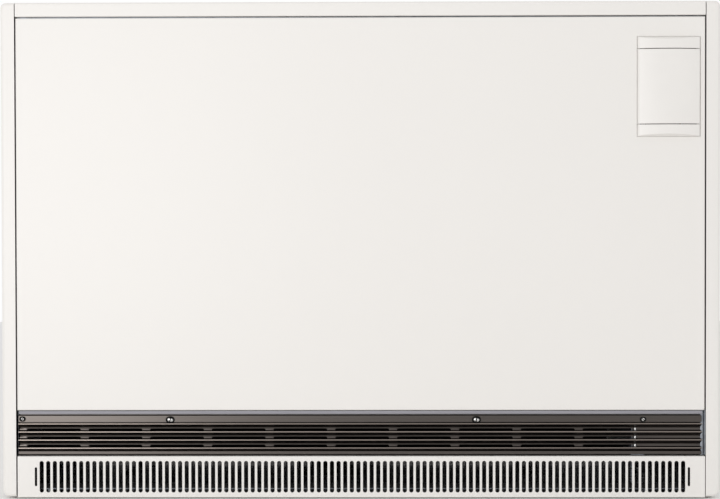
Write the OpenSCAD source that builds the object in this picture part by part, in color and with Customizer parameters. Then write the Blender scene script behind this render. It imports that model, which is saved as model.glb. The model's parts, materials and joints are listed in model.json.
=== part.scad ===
// Fan-assisted night storage heater.
// Frame: +Z up, the front faces -Y, +X to the right of someone who looks at the front.
// Origin: centre of the footprint, on the floor.

/* [Case] */
// Width over both side covers
case_w = 955; // [860:1:1130]
// Height from the floor to the top of the lid
case_h = 660; // [620:1:720]
// Depth from the face of the front panel to the rear panel
case_d = 250; // [235:1:290]
// Thickness of the painted case sheet
sheet_t = 1.2; // [0.8:0.1:1.6]
// Thickness of the galvanised frame sheet
frame_t = 1.5; // [1.2:0.1:2]
// Width of each side cover
side_cover_w = 18.5; // [14:0.5:24]
// Radius of the side covers' outer edges in front view, at the top
cover_top_r = 7; // [3:0.5:10]
// Radius of the side covers' outer edges in front view, at the bottom
cover_bottom_r = 10; // [3:0.5:12]
// Radius of the side covers' upright outer edges
cover_edge_r = 5; // [2:0.5:8]
// Height of the side covers' lower edge over the floor
cover_lift = 2; // [1:0.5:6]
// Gap between the panels and the side covers
seam_gap = 1; // [0.6:0.1:2]
// Height of the lid's front lip
lid_lip_h = 18.8; // [14:0.1:26]
// Radius of the lid's upper front edge
lid_edge_r = 3; // [1:0.5:5]
// Gap between the lid's lip and the front panel
lid_gap = 2; // [1:0.1:4]
// Depth of the folds along the panel edges
fold_d = 12; // [10:0.5:16]
// Gap between neighbouring rows of the front
row_gap = 0.5; // [0.3:0.1:1]
// Gap at which seated pieces lie
seat = 0.3; // [0.2:0.05:0.5]

/* [Intake panel] */
// Height of the intake panel
intake_h = 55.3; // [50:0.1:62]
// Height of its lower edge over the floor
intake_lift = 1; // [1:0.1:3]
// Pitch of the intake slots
slot_pitch = 8.81; // [8:0.01:12]
// Width of an intake slot
slot_w = 5.4; // [4:0.1:6]
// Height of an intake slot
slot_h = 41; // [30:0.5:42]
// Distance from the panel's end to the centre of the first slot
slot_margin = 30.5; // [26:0.5:50]
// Distance by which the slots stand right of the panel's middle
slot_shift = 1.7; // [0:0.1:4]
// Width of the release slot at each end
release_w = 2.2; // [1.5:0.1:3]
// Height of the release slot at each end
release_h = 25; // [16:0.5:30]
// Distance from the first slot to the release slot
release_gap = 8; // [7:0.5:10]
// Travel of the panel when it is pulled out
intake_travel = 45; // [20:1:50]

/* [Lint filter] */
// Width of the filter frame's bars
filter_bar = 5; // [4:0.5:8]
// Thickness of the filter frame
filter_t = 4; // [3:0.5:6]
// Width of the net's ribs
filter_rib = 1.2; // [0.8:0.1:2]
// Number of gaps along the net
filter_cols = 64; // [30:1:80]
// Number of gaps up the net
filter_rows = 3; // [2:1:4]

/* [Outlet grille] */
// Height of the outlet grille
grille_h = 60.2; // [58:0.1:66]
// Thickness of the grille sheet, front to back
grille_t = 2; // [1.6:0.1:2.4]
// Gap between the grille's ends and the panel ends
grille_end_gap = 3.2; // [3:0.1:6]
// Pitch of the louvre lips
lip_pitch = 10.8; // [10.2:0.1:11]
// Depth of the louvre folds
louvre_d = 5.6; // [5:0.1:7]
// Height of the plain band over the louvres, with its bead
band_h = 17.2; // [16:0.1:19]
// Pitch of the air slots along a louvre
air_pitch = 82.4; // [70:0.1:100]
// Length of an air slot
air_l = 72; // [50:0.5:74]
// Height of an air slot
air_h = 4.4; // [2:0.1:4.6]
// Distance from the panel's end to the first air slot
air_margin = 12.5; // [11:0.5:20]
// Distance between the two quarter-turn fasteners
fastener_spacing = 408; // [300:1:500]
// Radius of a fastener's head
fastener_head_r = 3.6; // [3.5:0.1:4]
// Radius of a fastener's shank
fastener_r = 2.8; // [2:0.1:3]

/* [Control module] */
// Width of the control module
module_w = 82.4; // [78:0.1:86]
// Height of the control module
module_h = 132.5; // [125:0.5:150]
// Distance from the module's right edge to the panel's end
module_inset = 8; // [6:0.05:9]
// Distance from the lid's top to the module's top
module_drop = 47.1; // [40:0.1:60]
// Height of the end caps above and below the flap
module_cap_h = 16; // [14:0.5:20]
// How far the bow's crest stands out from the front panel
module_proud = 9; // [8.5:0.1:12]
// How far the bow's sides stand out from the front panel
module_side = 2.5; // [2:0.1:3.5]
// Lean of the end faces, as a share of the height
module_lean = 0.39; // [0:0.01:0.5]
// Thickness of the flap
flap_t = 2; // [1.6:0.1:2.2]
// Radius of the flap's hinge edge
hinge_r = 4.6; // [4.2:0.1:5]
// Radius of the flap's hinge pins
pin_r = 1.2; // [1:0.05:1.5]
// Length of a hinge pin
pin_l = 12; // [8:0.5:16]
// Gap between the flap and the end caps
flap_gap = 0.9; // [0.5:0.05:1.2]
// Depth of the tray behind the flap
tray_d = 24; // [22:0.5:30]
// Wall of the tray
tray_wall = 2; // [1.5:0.1:3]
// Depth of the fascia behind the panel's face
fascia_in = 4.5; // [4.5:0.1:6]
// Thickness of the fascia
fascia_t = 2; // [1.5:0.1:2.5]
// Radius of the thermostat dial
dial_r = 19.5; // [15:0.5:21]
// Height of the thermostat dial
dial_h = 7.6; // [6:0.1:7.8]
// Radius of the dial's shaft
dial_shaft_r = 3; // [2.5:0.1:3.5]
// Height of the rocker switch
rocker_h = 26; // [20:0.5:28]
// Width of the rocker switch
rocker_w = 12; // [10:0.5:16]
// Tilt of the rocker to either side
rocker_tilt = 8; // [5:0.5:9]
// Radius of the pilot lamp
lamp_r = 2.5; // [2:0.1:4]

/* [Frame and core] */
// Width of the electrical compartment
elec_w = 95.7; // [90:0.1:104]
// Height of the floor runners
runner_h = 10; // [8:0.5:11]
// Width of the floor runners
runner_w = 40; // [30:1:44]
// Distance between the fixing holes, left to right
foot_spacing_x = 800; // [700:1:840]
// Distance between the fixing holes, front to back
foot_spacing_y = 180; // [150:1:190]
// Radius of the floor fixing holes
foot_hole_r = 4.5; // [3:0.1:5]
// Height of the core tray's underside
tray_z = 128; // [126:0.5:134]
// Thickness of the core tray
core_tray_t = 2.5; // [2:0.1:3]
// Thickness of the base insulation
base_board_t = 28; // [20:1:40]
// Thickness of the front insulation
front_board_t = 34; // [25:1:45]
// Thickness of the rear insulation
rear_board_t = 38; // [25:1:45]
// Thickness of the insulation at each side of the core
side_board_t = 60.5; // [40:0.5:70]
// Thickness of the top insulation
top_board_t = 40; // [30:1:50]
// Brick columns along the core
columns = 4; // [3:1:5]
// Width of an air channel through the bricks
channel_w = 90; // [60:1:110]
// Thickness of an air channel through the bricks
channel_t = 12; // [8:0.5:14]
// Distance from the core's middle to each air channel
channel_y = 62; // [56:0.5:64]
// Free height over the bricks for the air to cross
crossover_h = 12; // [8:0.5:16]
// Radius of a heating element's tube
tube_r = 4.25; // [3.5:0.05:5]
// Distance between an element's two legs
leg_spacing = 56; // [40:1:70]
// Radius of an element's ceramic bead
bead_r = 7.5; // [6:0.1:9]
// Length of a ceramic bead
bead_l = 12; // [10:0.5:14]
// Length of the terminal stud behind a bead
stud_l = 12; // [8:0.5:14]
// Distance from each end of the core to the wall fixing hole
wall_margin = 48.25; // [40:0.25:90]
// Distance from the lid's top to the wall fixing holes
wall_drop = 24; // [18:1:30]
// Radius of the wall fixing holes
wall_hole_r = 4.5; // [3:0.1:5]

/* [Blower and damper] */
// Radius of the impellers
impeller_r = 30; // [24:0.5:32]
// Length of one impeller
impeller_l = 220; // [180:1:250]
// Blades on one impeller
blades = 20; // [16:1:28]
// Radius of the blower shaft
shaft_r = 4; // [3:0.1:5]
// Distance from the rear panel to the blower's axis
blower_back = 70; // [60:1:74]
// Height of the blower's axis
blower_z = 62; // [56:0.5:66]
// Air gap between the impeller and its housing
scroll_gap = 5; // [3:0.5:6]
// Distance from the motor's middle to an impeller
motor_half = 45; // [38:0.5:60]
// Running clearance of shafts in their bores
running = 0.05; // [0.02:0.01:0.08]
// Radius of the damper's pivot rod
rod_r = 3; // [2.5:0.1:4]
// Distance from the front panel's face to the damper's pivot
damper_in = 90; // [84:1:96]
// Height of the damper's blade
damper_h = 50; // [40:0.5:52]

/* [Electrical compartment] */
// Height of the terminal plate's lower edge
plate_z = 150; // [140:1:170]
// Height of the terminal plate
plate_h = 290; // [280:1:305]
// Distance from the core's middle forward to the terminal plate
plate_off = 49.3; // [42:0.1:52]
// Height of the charge controller
controller_h = 100; // [80:1:110]
// Space at each side of the charge controller
controller_side = 10; // [6:0.5:14]
// Radius of the charge trim knob
knob_r = 9; // [6:0.5:12]
// Radius of the limiter's body
limiter_r = 16; // [12:0.5:18]
// Radius of the limiter's reset button
button_r = 3; // [2:0.1:4]
// Travel of the reset button
button_travel = 1.5; // [1:0.1:2]
// Radius of the cable entry
cable_r = 6.5; // [4:0.1:8]
// Height of the cable entry
cable_z = 72; // [60:1:100]
// Radius of the sensor probe
sensor_r = 3; // [2:0.1:4]
// Radius of a feeder wire
wire_r = 1.2; // [0.8:0.1:1.4]

/* [Hidden] */
$fn = 64;

// Planes of the case
front_y = -(case_d - module_proud) / 2;
back_y = front_y + case_d;
cover_in_x = case_w / 2 - side_cover_w;
panel_x = cover_in_x - seam_gap;
rail_y = front_y + fold_d + seat;
rear_in_y = back_y - sheet_t;
wall_out_x = cover_in_x - seat;
wall_in_x = wall_out_x - frame_t;
inner_top_z = case_h - sheet_t - seat;
cut = 1;

// Rows of the front, from the floor up
intake_top_z = intake_lift + intake_h;
grille_z = intake_top_z + row_gap;
grille_top_z = grille_z + grille_h;
panel_z = grille_top_z + row_gap;
panel_top_z = case_h - lid_lip_h - lid_gap;

// Base frame
pan_top_z = runner_h + frame_t;
pan_front_y = front_y + fold_d + 4.5;
pan_back_y = rear_in_y - seat;
wall_z = pan_top_z + seat;
flange_w = 17;
runner_front_y = front_y + 22;
runner_back_y = back_y - 14;
foot_mid_y = (runner_front_y + runner_back_y) / 2;

// Walls and the core's room
frame_back_y = rear_in_y - seat;
partition_x = wall_in_x - elec_w;
ledge_w = 20;
tray_top_z = tray_z + core_tray_t;
room_left_x = -wall_in_x + seat;
room_right_x = partition_x - seat;
room_front_y = rail_y + frame_t + seat;
room_back_y = frame_back_y;
core_x0 = room_left_x + side_board_t + seat;
core_x1 = room_right_x - side_board_t - seat;
core_y0 = room_front_y + front_board_t + seat;
core_y1 = room_back_y - rear_board_t - seat;
core_mid_x = (core_x0 + core_x1) / 2;
core_mid_y = (core_y0 + core_y1) / 2;
base_z = tray_top_z + seat;
core_z0 = base_z + base_board_t + seat;
hood_t = frame_t;
layers = 6;
top_board_z = inner_top_z - top_board_t;
core_z1 = top_board_z - seat - hood_t - crossover_h - seat;
wall_spacing = core_x1 - core_x0 - 2 * wall_margin;
column_pitch = (core_x1 - core_x0 + seat) / columns;
layer_pitch = (core_z1 - core_z0 + seat) / layers;
groove_r = tube_r + seat;
sensor_z = element_z(1) + layer_pitch / 2;

// Outlet grille
rivet_r = 1.9;
rivet_stem_r = 1.1;
screw_r = 1.9;
screw_head_r = 3.3;
cross_pin_r = 1.2;
cross_pin_l = 12;
grille_x = panel_x - grille_end_gap;
lip_top_z = grille_top_z - band_h;
lips = 4;
air_x0 = -panel_x + air_margin;
air_count = floor((partition_x - air_x0 - air_l / 2) / air_pitch) + 1;
bracket_x = wall_in_x - seat;
bracket_tab_l = 7;
bracket_tab_h = 7.6;
bracket_d = 40;
screw_in = 3.4;
rivet_x = partition_x + rivet_r + 1.5;
rivet_y = front_y + 3.8;
rivet_head = 1.4;
fastener_shift = 1.45;
louvre_drop = 4.8;
face_h = 2.4;
band_d = 1.6;
groove_d = 2.8;
band_y = front_y + band_d;
fastener_z = grille_top_z - 12.3;
rail_h = 41;
rail_z = grille_top_z - 18;

// Intake panel
tongue_l = intake_travel + 27;
slot_z = intake_lift + intake_h / 2;
slot_span = 2 * (panel_x - slot_margin);
slot_count = floor(slot_span / slot_pitch) + 1;
tongue_z = wall_z + frame_t + seat;
tongue_h = intake_top_z - 6 - tongue_z;

// Lint filter
filter_x = bracket_x - frame_t - seat - 1;
filter_y = front_y + sheet_t + seat;
filter_z = tongue_z;
filter_top_z = intake_top_z - sheet_t - seat;

// Air path
divider_z = intake_top_z - sheet_t;
blower_y = back_y - blower_back;
scroll_r = impeller_r + scroll_gap;
divider_back_y = blower_y - scroll_r - 4;
motor_x = core_mid_x;
end_x = 26;
end_y = 27;
stack_x = 14;
stack_y = 30;
stack_low = 24;
stack_high = 36;
coil_t = 8;
coil_h = 16;
near_plate = motor_half - 6;
far_plate = motor_half + impeller_l + 5;
bush_r = 11;
motor_bore_r = 13;
rotor_r = motor_bore_r - 0.5;
damper_y = front_y + damper_in;
damper_z = tray_z - 14;
coil_x = -wall_in_x + 3;
coil_l = 8;

// Electrical compartment
elec_x0 = partition_x + frame_t + seat;
elec_x1 = wall_in_x - seat;
elec_mid_x = (elec_x0 + elec_x1) / 2;
plate_y = core_mid_y - plate_off;
plate_back_y = plate_y + frame_t;
controller_rise = 135;
controller_z = plate_z + controller_rise;
controller_d = 30;
knob_z = controller_z + 0.6 * controller_h;
limiter_gap = 12;
limiter_z = controller_z + controller_h + limiter_gap + limiter_r;
limiter_d = 14;
relay_rise = 70;
relay_z = plate_z + relay_rise;
relay_h = 74;
relay_d = 50;
stud_x = partition_x - 4 + bead_l + stud_l;
stud_gap = 13;
relay_x = stud_x + stud_gap;
relay_y = plate_back_y + seat;
block_rise = 22;
block_z = plate_z + block_rise;
block_h = 30;
block_d = 24;
grommet_lip = 3;
plate_fold = 11;
window_w = 28;
window_rise = 20;
feed_pitch = 6;
feed_z = relay_z + window_rise + window_w / 4;
run_rise = 8;
run_pitch = 22;
run_half = 16;
lead_x = 24;

// Control module
module_x1 = panel_x - module_inset;
module_x0 = module_x1 - module_w;
module_mid_x = (module_x0 + module_x1) / 2;
module_top_z = case_h - module_drop;
module_z = module_top_z - module_h;
flap_z0 = module_z + module_cap_h;
flap_z1 = module_top_z - module_cap_h;
bow = module_proud - module_side;
bow_r = (pow(module_w / 2, 2) + pow(bow, 2)) / (2 * bow);
bow_y = front_y - module_proud + bow_r;
module_clear = 0.6;
hinge_x = module_x0 + hinge_r;
hinge_y = bow_y - sqrt(pow(bow_r, 2) - pow(hinge_x - module_mid_x, 2)) + hinge_r;
housing_y = front_y + sheet_t + seat;
tray_x0 = hinge_x + hinge_r + tray_wall;
tray_x1 = module_x1 - tray_wall - 1;
tray_z0 = flap_z0 + 5;
lead_z = tray_z0 + 20;
tray_z1 = flap_z1 - 5;
tray_back_y = front_y + tray_d;
fascia_y = front_y + fascia_in;
fascia_back_y = fascia_y + fascia_t;
dial_x = (tray_x0 + tray_x1) / 2;
dial_z = tray_z1 - dial_r - 8;
dial_back_y = fascia_y - seat;
rocker_z = tray_z0 + rocker_h / 2 + 3;
rocker_y = fascia_back_y + 2.5;
lamp_x = dial_x + rocker_w / 2 + 14;
pot_d = 9;

white = [0.95, 0.94, 0.92];
white_shade = [0.92, 0.91, 0.89];
bronze = [0.42, 0.39, 0.36];
zinc = [0.66, 0.68, 0.71];
steel = [0.55, 0.56, 0.58];
board = [0.85, 0.82, 0.74];
brick = [0.35, 0.24, 0.19];
ceramic = [0.93, 0.92, 0.88];
black = [0.12, 0.12, 0.13];
copper = [0.72, 0.45, 0.28];

// A box from its two opposite corners
module box(a, b) {
    translate(a) cube(b - a);
}

// A round bar along X, from x0 to x1
module bar_x(r, x0, x1, y, z) {
    translate([x0, y, z]) rotate([0, 90, 0]) cylinder(r = r, h = x1 - x0);
}

// A round bar along Y, from y0 to y1
module bar_y(r, y0, y1, x, z) {
    translate([x, y0, z]) rotate([-90, 0, 0]) cylinder(r = r, h = y1 - y0);
}

// Stands an outline in X and Z up, from y0 to y1
module stand_up(y0, y1) {
    translate([0, y1, 0]) rotate([90, 0, 0]) linear_extrude(y1 - y0) children();
}

// Draws an outline in Y and Z along X, from x0 to x1
module draw_along(x0, x1) {
    translate([x0, 0, 0]) rotate([90, 0, 90]) linear_extrude(x1 - x0) children();
}

// An upright slot with round ends, in an outline
module slot_outline(w, h) {
    square([w, h - w], center = true);
    translate([0, (h - w) / 2]) circle(d = w);
    translate([0, -(h - w) / 2]) circle(d = w);
}

// A rectangle with its own radius at each outer corner
module rounded_side(x0, z0, x1, z1, r_bottom, r_top) {
    translate([x0, z0 + r_bottom]) square([x1 - x0, z1 - z0 - r_bottom - r_top]);
    translate([x0, z0]) square([x1 - x0 - r_bottom, r_bottom]);
    translate([x0, z1 - r_top]) square([x1 - x0 - r_top, r_top]);
    translate([x1 - r_bottom, z0 + r_bottom]) circle(r_bottom);
    translate([x1 - r_top, z1 - r_top]) circle(r_top);
}

// The outer form of the right side cover, drawn in by a wall thickness
module cover_form(wall) {
    x0 = cover_in_x - (wall > 0 ? cut : 0);
    x1 = case_w / 2 - wall;
    z0 = cover_lift + wall;
    z1 = case_h - wall;
    y0 = front_y + wall;
    y1 = back_y - wall;
    intersection() {
        stand_up(y0, y1)
            rounded_side(x0, z0, x1, z1, cover_bottom_r - wall, cover_top_r - wall);
        translate([0, 0, z0]) linear_extrude(z1 - z0)
            rounded_side(x0, y0, x1, y1, cover_edge_r - wall, cover_edge_r - wall);
    }
}

module side_cover() {
    color(white) difference() {
        cover_form(0);
        cover_form(sheet_t);
    }
}

module side_cover_right() {
    side_cover();
}

module side_cover_left() {
    mirror([1, 0, 0]) side_cover();
}

// Lid with a front lip that folds back under the edge
module top_cover() {
    z0 = case_h - lid_lip_h;
    inner_r = lid_edge_r > sheet_t ? lid_edge_r - sheet_t : 0.01;
    color(white) difference() {
        draw_along(-panel_x, panel_x) {
            translate([front_y + lid_edge_r, z0]) square([case_d - lid_edge_r, lid_lip_h]);
            translate([front_y, z0]) square([lid_edge_r, lid_lip_h - lid_edge_r]);
            translate([front_y + lid_edge_r, case_h - lid_edge_r]) circle(lid_edge_r);
        }
        draw_along(-panel_x - cut, panel_x + cut) {
            translate([front_y + sheet_t, z0 + sheet_t])
                square([case_d, lid_lip_h - 2 * sheet_t - inner_r]);
            translate([front_y + sheet_t + inner_r, z0 + sheet_t])
                square([case_d, lid_lip_h - 2 * sheet_t]);
            translate([front_y + sheet_t + inner_r, case_h - sheet_t - inner_r]) circle(inner_r);
            translate([front_y + fold_d - seat, z0 - cut]) square([case_d, lid_lip_h - sheet_t]);
        }
    }
}

// Front panel: a sheet with all four edges folded back, and the module's opening
module front_panel() {
    color(white) difference() {
        box([-panel_x, front_y, panel_z], [panel_x, front_y + fold_d, panel_top_z]);
        box([-panel_x + sheet_t, front_y + sheet_t, panel_z + sheet_t],
            [panel_x - sheet_t, front_y + fold_d + cut, panel_top_z - sheet_t]);
        box([module_x0 - module_clear, front_y - cut, module_z - module_clear],
            [module_x1 + module_clear, front_y + fold_d, module_top_z + module_clear]);
    }
}

module rear_panel() {
    color(white_shade) difference() {
        box([-panel_x, rear_in_y, runner_h], [panel_x, back_y, inner_top_z]);
        for (side = [-1, 1])
            bar_y(wall_hole_r, rear_in_y - cut, back_y + cut,
                core_mid_x + side * wall_spacing / 2, case_h - wall_drop);
        bar_y(cable_r + grommet_lip + seat, rear_in_y - cut, back_y + cut, elec_mid_x, cable_z);
    }
}

// Intake panel: slotted front, folds at top and bottom, and a guide tongue at each end
module intake_panel() {
    color(white) {
        stand_up(front_y, front_y + sheet_t) difference() {
            translate([-panel_x, intake_lift]) square([2 * panel_x, intake_h]);
            for (i = [0:slot_count - 1])
                translate([slot_shift + (i - (slot_count - 1) / 2) * slot_pitch, slot_z])
                    slot_outline(slot_w, slot_h);
            for (side = [-1, 1])
                translate([slot_shift + side * ((slot_count - 1) / 2 * slot_pitch + release_gap), slot_z])
                    slot_outline(release_w, release_h);
        }
        box([-panel_x, front_y, intake_lift], [panel_x, front_y + fold_d + 3, intake_lift + sheet_t]);
        box([-panel_x, front_y, intake_top_z - sheet_t], [panel_x, front_y + fold_d, intake_top_z]);
        for (side = [0, 1]) mirror([side, 0, 0])
            box([bracket_x - frame_t, front_y + sheet_t / 2, tongue_z],
                [bracket_x, front_y + tongue_l, tongue_z + tongue_h]);
    }
}

// Lint filter: a frame round a net
module lint_filter() {
    net_x = filter_x - filter_bar;
    net_z0 = filter_z + filter_bar;
    net_z1 = filter_top_z - filter_bar;
    col_pitch = (2 * net_x - filter_rib) / filter_cols;
    row_pitch = (net_z1 - net_z0 - filter_rib) / filter_rows;
    color(black) {
        difference() {
            box([-filter_x, filter_y, filter_z], [filter_x, filter_y + filter_t, filter_top_z]);
            box([-net_x, filter_y - cut, net_z0], [net_x, filter_y + filter_t + cut, net_z1]);
        }
        stand_up(filter_y + 1, filter_y + 2) difference() {
            translate([-net_x - cut, net_z0 - cut])
                square([2 * (net_x + cut), net_z1 - net_z0 + 2 * cut]);
            for (i = [0:filter_cols - 1]) for (j = [0:filter_rows - 1])
                translate([filter_rib - net_x + i * col_pitch, net_z0 + filter_rib + j * row_pitch])
                    square([col_pitch - filter_rib, row_pitch - filter_rib]);
        }
    }
}

// Front line of the grille, from the top flange down to the bottom flange
function grille_line() = concat(
    [[0.6, grille_top_z], [0.6, grille_top_z - 3.6], [2.6, grille_top_z - 4.6],
     [band_d, grille_top_z - 6.2], [band_d, grille_top_z - 14.4], [groove_d, grille_top_z - 15.6],
     [0.8, lip_top_z + 0.7], [0.8, lip_top_z - 0.7]],
    [for (i = [1:lips - 1]) let (z = lip_top_z - (i - 1) * lip_pitch - louvre_drop) each [
        [0.8 + louvre_d, z],
        [0.6 + louvre_d, z - 0.6],
        [0.1 + louvre_d, z - 0.6 - face_h],
        [0.8, lip_top_z - i * lip_pitch + 0.7],
        [0.8, lip_top_z - i * lip_pitch - 0.7]]],
    [[4.6, lip_top_z - (lips - 1) * lip_pitch - 2.4], [1.8, grille_z + 5.2],
     [1.8, grille_z + 2.4], [2.8, grille_z + 1.4], [2.8, grille_z]]);

function grille_section() = let (line = grille_line(), n = len(line))
    concat([[fold_d, grille_top_z]], line, [[fold_d, grille_z], [fold_d, grille_z + sheet_t],
        [2.8 + grille_t, grille_z + sheet_t]],
        [for (i = [n - 2:-1:1]) line[i] + [grille_t, 0]],
        [[0.6 + grille_t, grille_top_z - sheet_t], [fold_d, grille_top_z - sheet_t]]);

function fastener_x(side) = core_mid_x - fastener_shift + side * fastener_spacing / 2;
function screw_points() = [[-grille_x + screw_in, fastener_z], [partition_x + flange_w - 2.5, fastener_z]];
function slot_row_z(i) = lip_top_z - i * lip_pitch + 0.8 + air_h / 2;

// Outlet grille: one folded profile with air slots in its sloping webs
module outlet_grille() {
    color(bronze) difference() {
        translate([0, front_y, 0]) draw_along(-grille_x, grille_x) polygon(grille_section());
        stand_up(front_y - cut, front_y + fold_d - seat) {
            for (i = [1:lips - 1]) for (k = [0:air_count - 1]) {
                x0 = air_x0 + k * air_pitch;
                x1 = min(x0 + air_l, partition_x - 1);
                translate([(x0 + x1) / 2, slot_row_z(i)]) rotate(90) slot_outline(air_h, x1 - x0);
            }
        }
        for (side = [-1, 1])
            bar_y(fastener_r + 0.4, front_y - cut, front_y + fold_d, fastener_x(side), fastener_z);
        for (at = screw_points())
            bar_y(screw_r + 0.2, front_y - cut, front_y + fold_d, at[0], at[1]);
        for (i = [1:lips - 1])
            bar_y(rivet_r + 0.4, front_y - cut, front_y + fold_d - seat, rivet_x, slot_row_z(i));
    }
}

// An angle at each end of the grille, held against the side wall
module grille_end_brackets() {
    strip_y = front_y + groove_d + grille_t + seat;
    color(zinc) for (side = [0, 1]) mirror([side, 0, 0]) difference() {
        union() {
            box([grille_x - bracket_tab_l, strip_y, fastener_z - bracket_tab_h / 2],
                [bracket_x, strip_y + sheet_t, fastener_z + bracket_tab_h / 2]);
            box([grille_x + row_gap, strip_y, grille_z + row_gap],
                [bracket_x, strip_y + sheet_t, grille_top_z]);
            box([bracket_x - sheet_t, strip_y, grille_z + row_gap],
                [bracket_x, front_y + bracket_d, grille_top_z]);
        }
        bar_y(screw_r + 0.05, strip_y - cut, strip_y + sheet_t + cut, grille_x - screw_in, fastener_z);
    }
}

// Rivets on the partition's flange, which look out through the grille
module grille_rivets() {
    color(steel) for (i = [1:lips - 1]) {
        bar_y(rivet_r, rivet_y, rivet_y + rivet_head, rivet_x, slot_row_z(i));
        bar_y(rivet_stem_r, rivet_y + rivet_head / 2, rail_y - seat, rivet_x, slot_row_z(i));
    }
}

// Quarter-turn fastener: slotted head, shank, and a cross pin behind the rail
module grille_fastener(side) {
    head_y = band_y - seat;
    head_h = 1.8;
    slot_half = 0.6;
    pin_y = rail_y + frame_t + cross_pin_r + seat;
    color(steel) difference() {
        union() {
            bar_y(fastener_head_r, head_y - head_h, head_y, fastener_x(side), fastener_z);
            bar_y(fastener_r, head_y - cut, pin_y + fastener_r, fastener_x(side), fastener_z);
            bar_x(cross_pin_r, fastener_x(side) - cross_pin_l / 2, fastener_x(side) + cross_pin_l / 2,
                pin_y, fastener_z);
        }
        box([fastener_x(side) - slot_half, head_y - head_h - cut, fastener_z - fastener_head_r - cut],
            [fastener_x(side) + slot_half, head_y - head_h / 2, fastener_z + fastener_head_r + cut]);
    }
}

module grille_fastener_left() {
    grille_fastener(-1);
}

module grille_fastener_right() {
    grille_fastener(1);
}

// Two small screws through the grille's band
module grille_screws() {
    color(steel) for (at = screw_points()) {
        bar_y(screw_head_r, band_y - seat - 1.4, band_y - seat, at[0], at[1]);
        bar_y(screw_r, band_y - cut, rail_y - seat, at[0], at[1]);
    }
}

// Floor runners with fixing holes, under the floor pan
module base_frame() {
    access_r = foot_hole_r + 6;
    color(zinc) difference() {
        union() {
            box([-wall_out_x, pan_front_y, runner_h], [wall_out_x, pan_back_y, pan_top_z]);
            for (side = [-1, 1]) translate([side * foot_spacing_x / 2, 0, 0]) difference() {
                box([-runner_w / 2, runner_front_y, 0], [runner_w / 2, runner_back_y, runner_h]);
                box([-runner_w / 2 + 2, runner_front_y - cut, 2],
                    [runner_w / 2 - 2, runner_back_y + cut, runner_h]);
            }
        }
        for (x = [-1, 1]) for (y = [-1, 1])
            translate([x * foot_spacing_x / 2, foot_mid_y + y * foot_spacing_y / 2, -cut]) {
                cylinder(r = foot_hole_r, h = 2 + 2 * cut);
                translate([0, 0, runner_h]) cylinder(r = access_r, h = frame_t + 2 * cut);
            }
    }
}

// Side wall: an upright sheet with a foot flange on the pan
module side_wall_right() {
    color(zinc) union() {
        box([wall_in_x, rail_y, wall_z], [wall_out_x, frame_back_y, inner_top_z]);
        box([wall_in_x - flange_w, pan_front_y, wall_z], [wall_out_x, frame_back_y, wall_z + frame_t]);
    }
}

// The left wall also has a ledge under the core tray, and the damper's bearing hole
module side_wall_left() {
    color(zinc) difference() {
        mirror([1, 0, 0]) union() {
            side_wall_right();
            box([wall_in_x - ledge_w, rail_y + 4, tray_z - seat - frame_t],
                [wall_out_x, frame_back_y, tray_z - seat]);
        }
        bar_x(rod_r + running, -wall_out_x - cut, -wall_in_x + cut, damper_y, damper_z);
    }
}

// Partition to the electrical compartment, with a ledge, a foot and a front flange
module partition_wall() {
    color(zinc) difference() {
        union() {
            box([partition_x, room_front_y, wall_z], [partition_x + frame_t, frame_back_y, inner_top_z]);
            box([partition_x, room_front_y, wall_z],
                [partition_x + flange_w, frame_back_y, wall_z + frame_t]);
            box([partition_x, rail_y, divider_z],
                [partition_x + frame_t, room_front_y + cut, rail_z - seat]);
            box([partition_x, rail_y, divider_z],
                [partition_x + flange_w, rail_y + frame_t, rail_z - seat]);
            box([partition_x - ledge_w, rail_y + 4, tray_z - seat - frame_t],
                [partition_x, frame_back_y, tray_z - seat]);
        }
        for (i = [0:2]) for (side = [-1, 1])
            bar_x(bead_r + seat, partition_x - cut, partition_x + frame_t + cut,
                core_mid_y + side * leg_spacing / 2, element_z(i));
        bar_x(sensor_r + seat, partition_x - cut, partition_x + frame_t + cut, core_mid_y, sensor_z);
        bar_x(rod_r + running, partition_x - cut, partition_x + frame_t + cut, damper_y, damper_z);
    }
}

// The core's air channels, from z0 to z1
module air_channels(z0, z1) {
    for (i = [0:columns - 1]) for (side = [-1, 1])
        translate([core_x0 + (i + 0.5) * column_pitch - seat / 2, core_mid_y + side * channel_y, z0])
            translate([-channel_w / 2, -channel_t / 2, 0]) cube([channel_w, channel_t, z1 - z0]);
}

// Tray that carries the core
module core_tray() {
    color(zinc) difference() {
        box([room_left_x, room_front_y, tray_z], [room_right_x, room_back_y, tray_top_z]);
        air_channels(tray_z - cut, tray_top_z + cut);
    }
}

// Upper rail: carries the lid's edge and the top fold of the front panel
module upper_front_rail() {
    color(zinc) union() {
        box([-bracket_x, rail_y, panel_top_z - rail_h + 11], [bracket_x, rail_y + frame_t, inner_top_z]);
        box([-bracket_x, front_y + sheet_t + lid_edge_r, inner_top_z - frame_t],
            [bracket_x, rail_y + frame_t, inner_top_z]);
    }
}

// Lower rail: carries the lower fold of the front panel and takes the grille's fasteners
module lower_front_rail() {
    rail_x = bracket_x - sheet_t - seat;
    shelf_z = panel_z + sheet_t + seat;
    color(zinc) difference() {
        union() {
            box([-rail_x, rail_y, rail_z], [rail_x, rail_y + frame_t, rail_z + rail_h]);
            box([-rail_x, front_y + sheet_t + 1, shelf_z], [rail_x, rail_y + cut, shelf_z + frame_t]);
        }
        for (side = [-1, 1])
            bar_y(fastener_r + running, rail_y - cut, rail_y + frame_t + cut,
                fastener_x(side), fastener_z);
    }
}

module insulation_base() {
    color(board) difference() {
        box([core_x0, core_y0, base_z], [core_x1, core_y1, base_z + base_board_t]);
        air_channels(base_z - cut, base_z + base_board_t + cut);
    }
}

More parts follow.
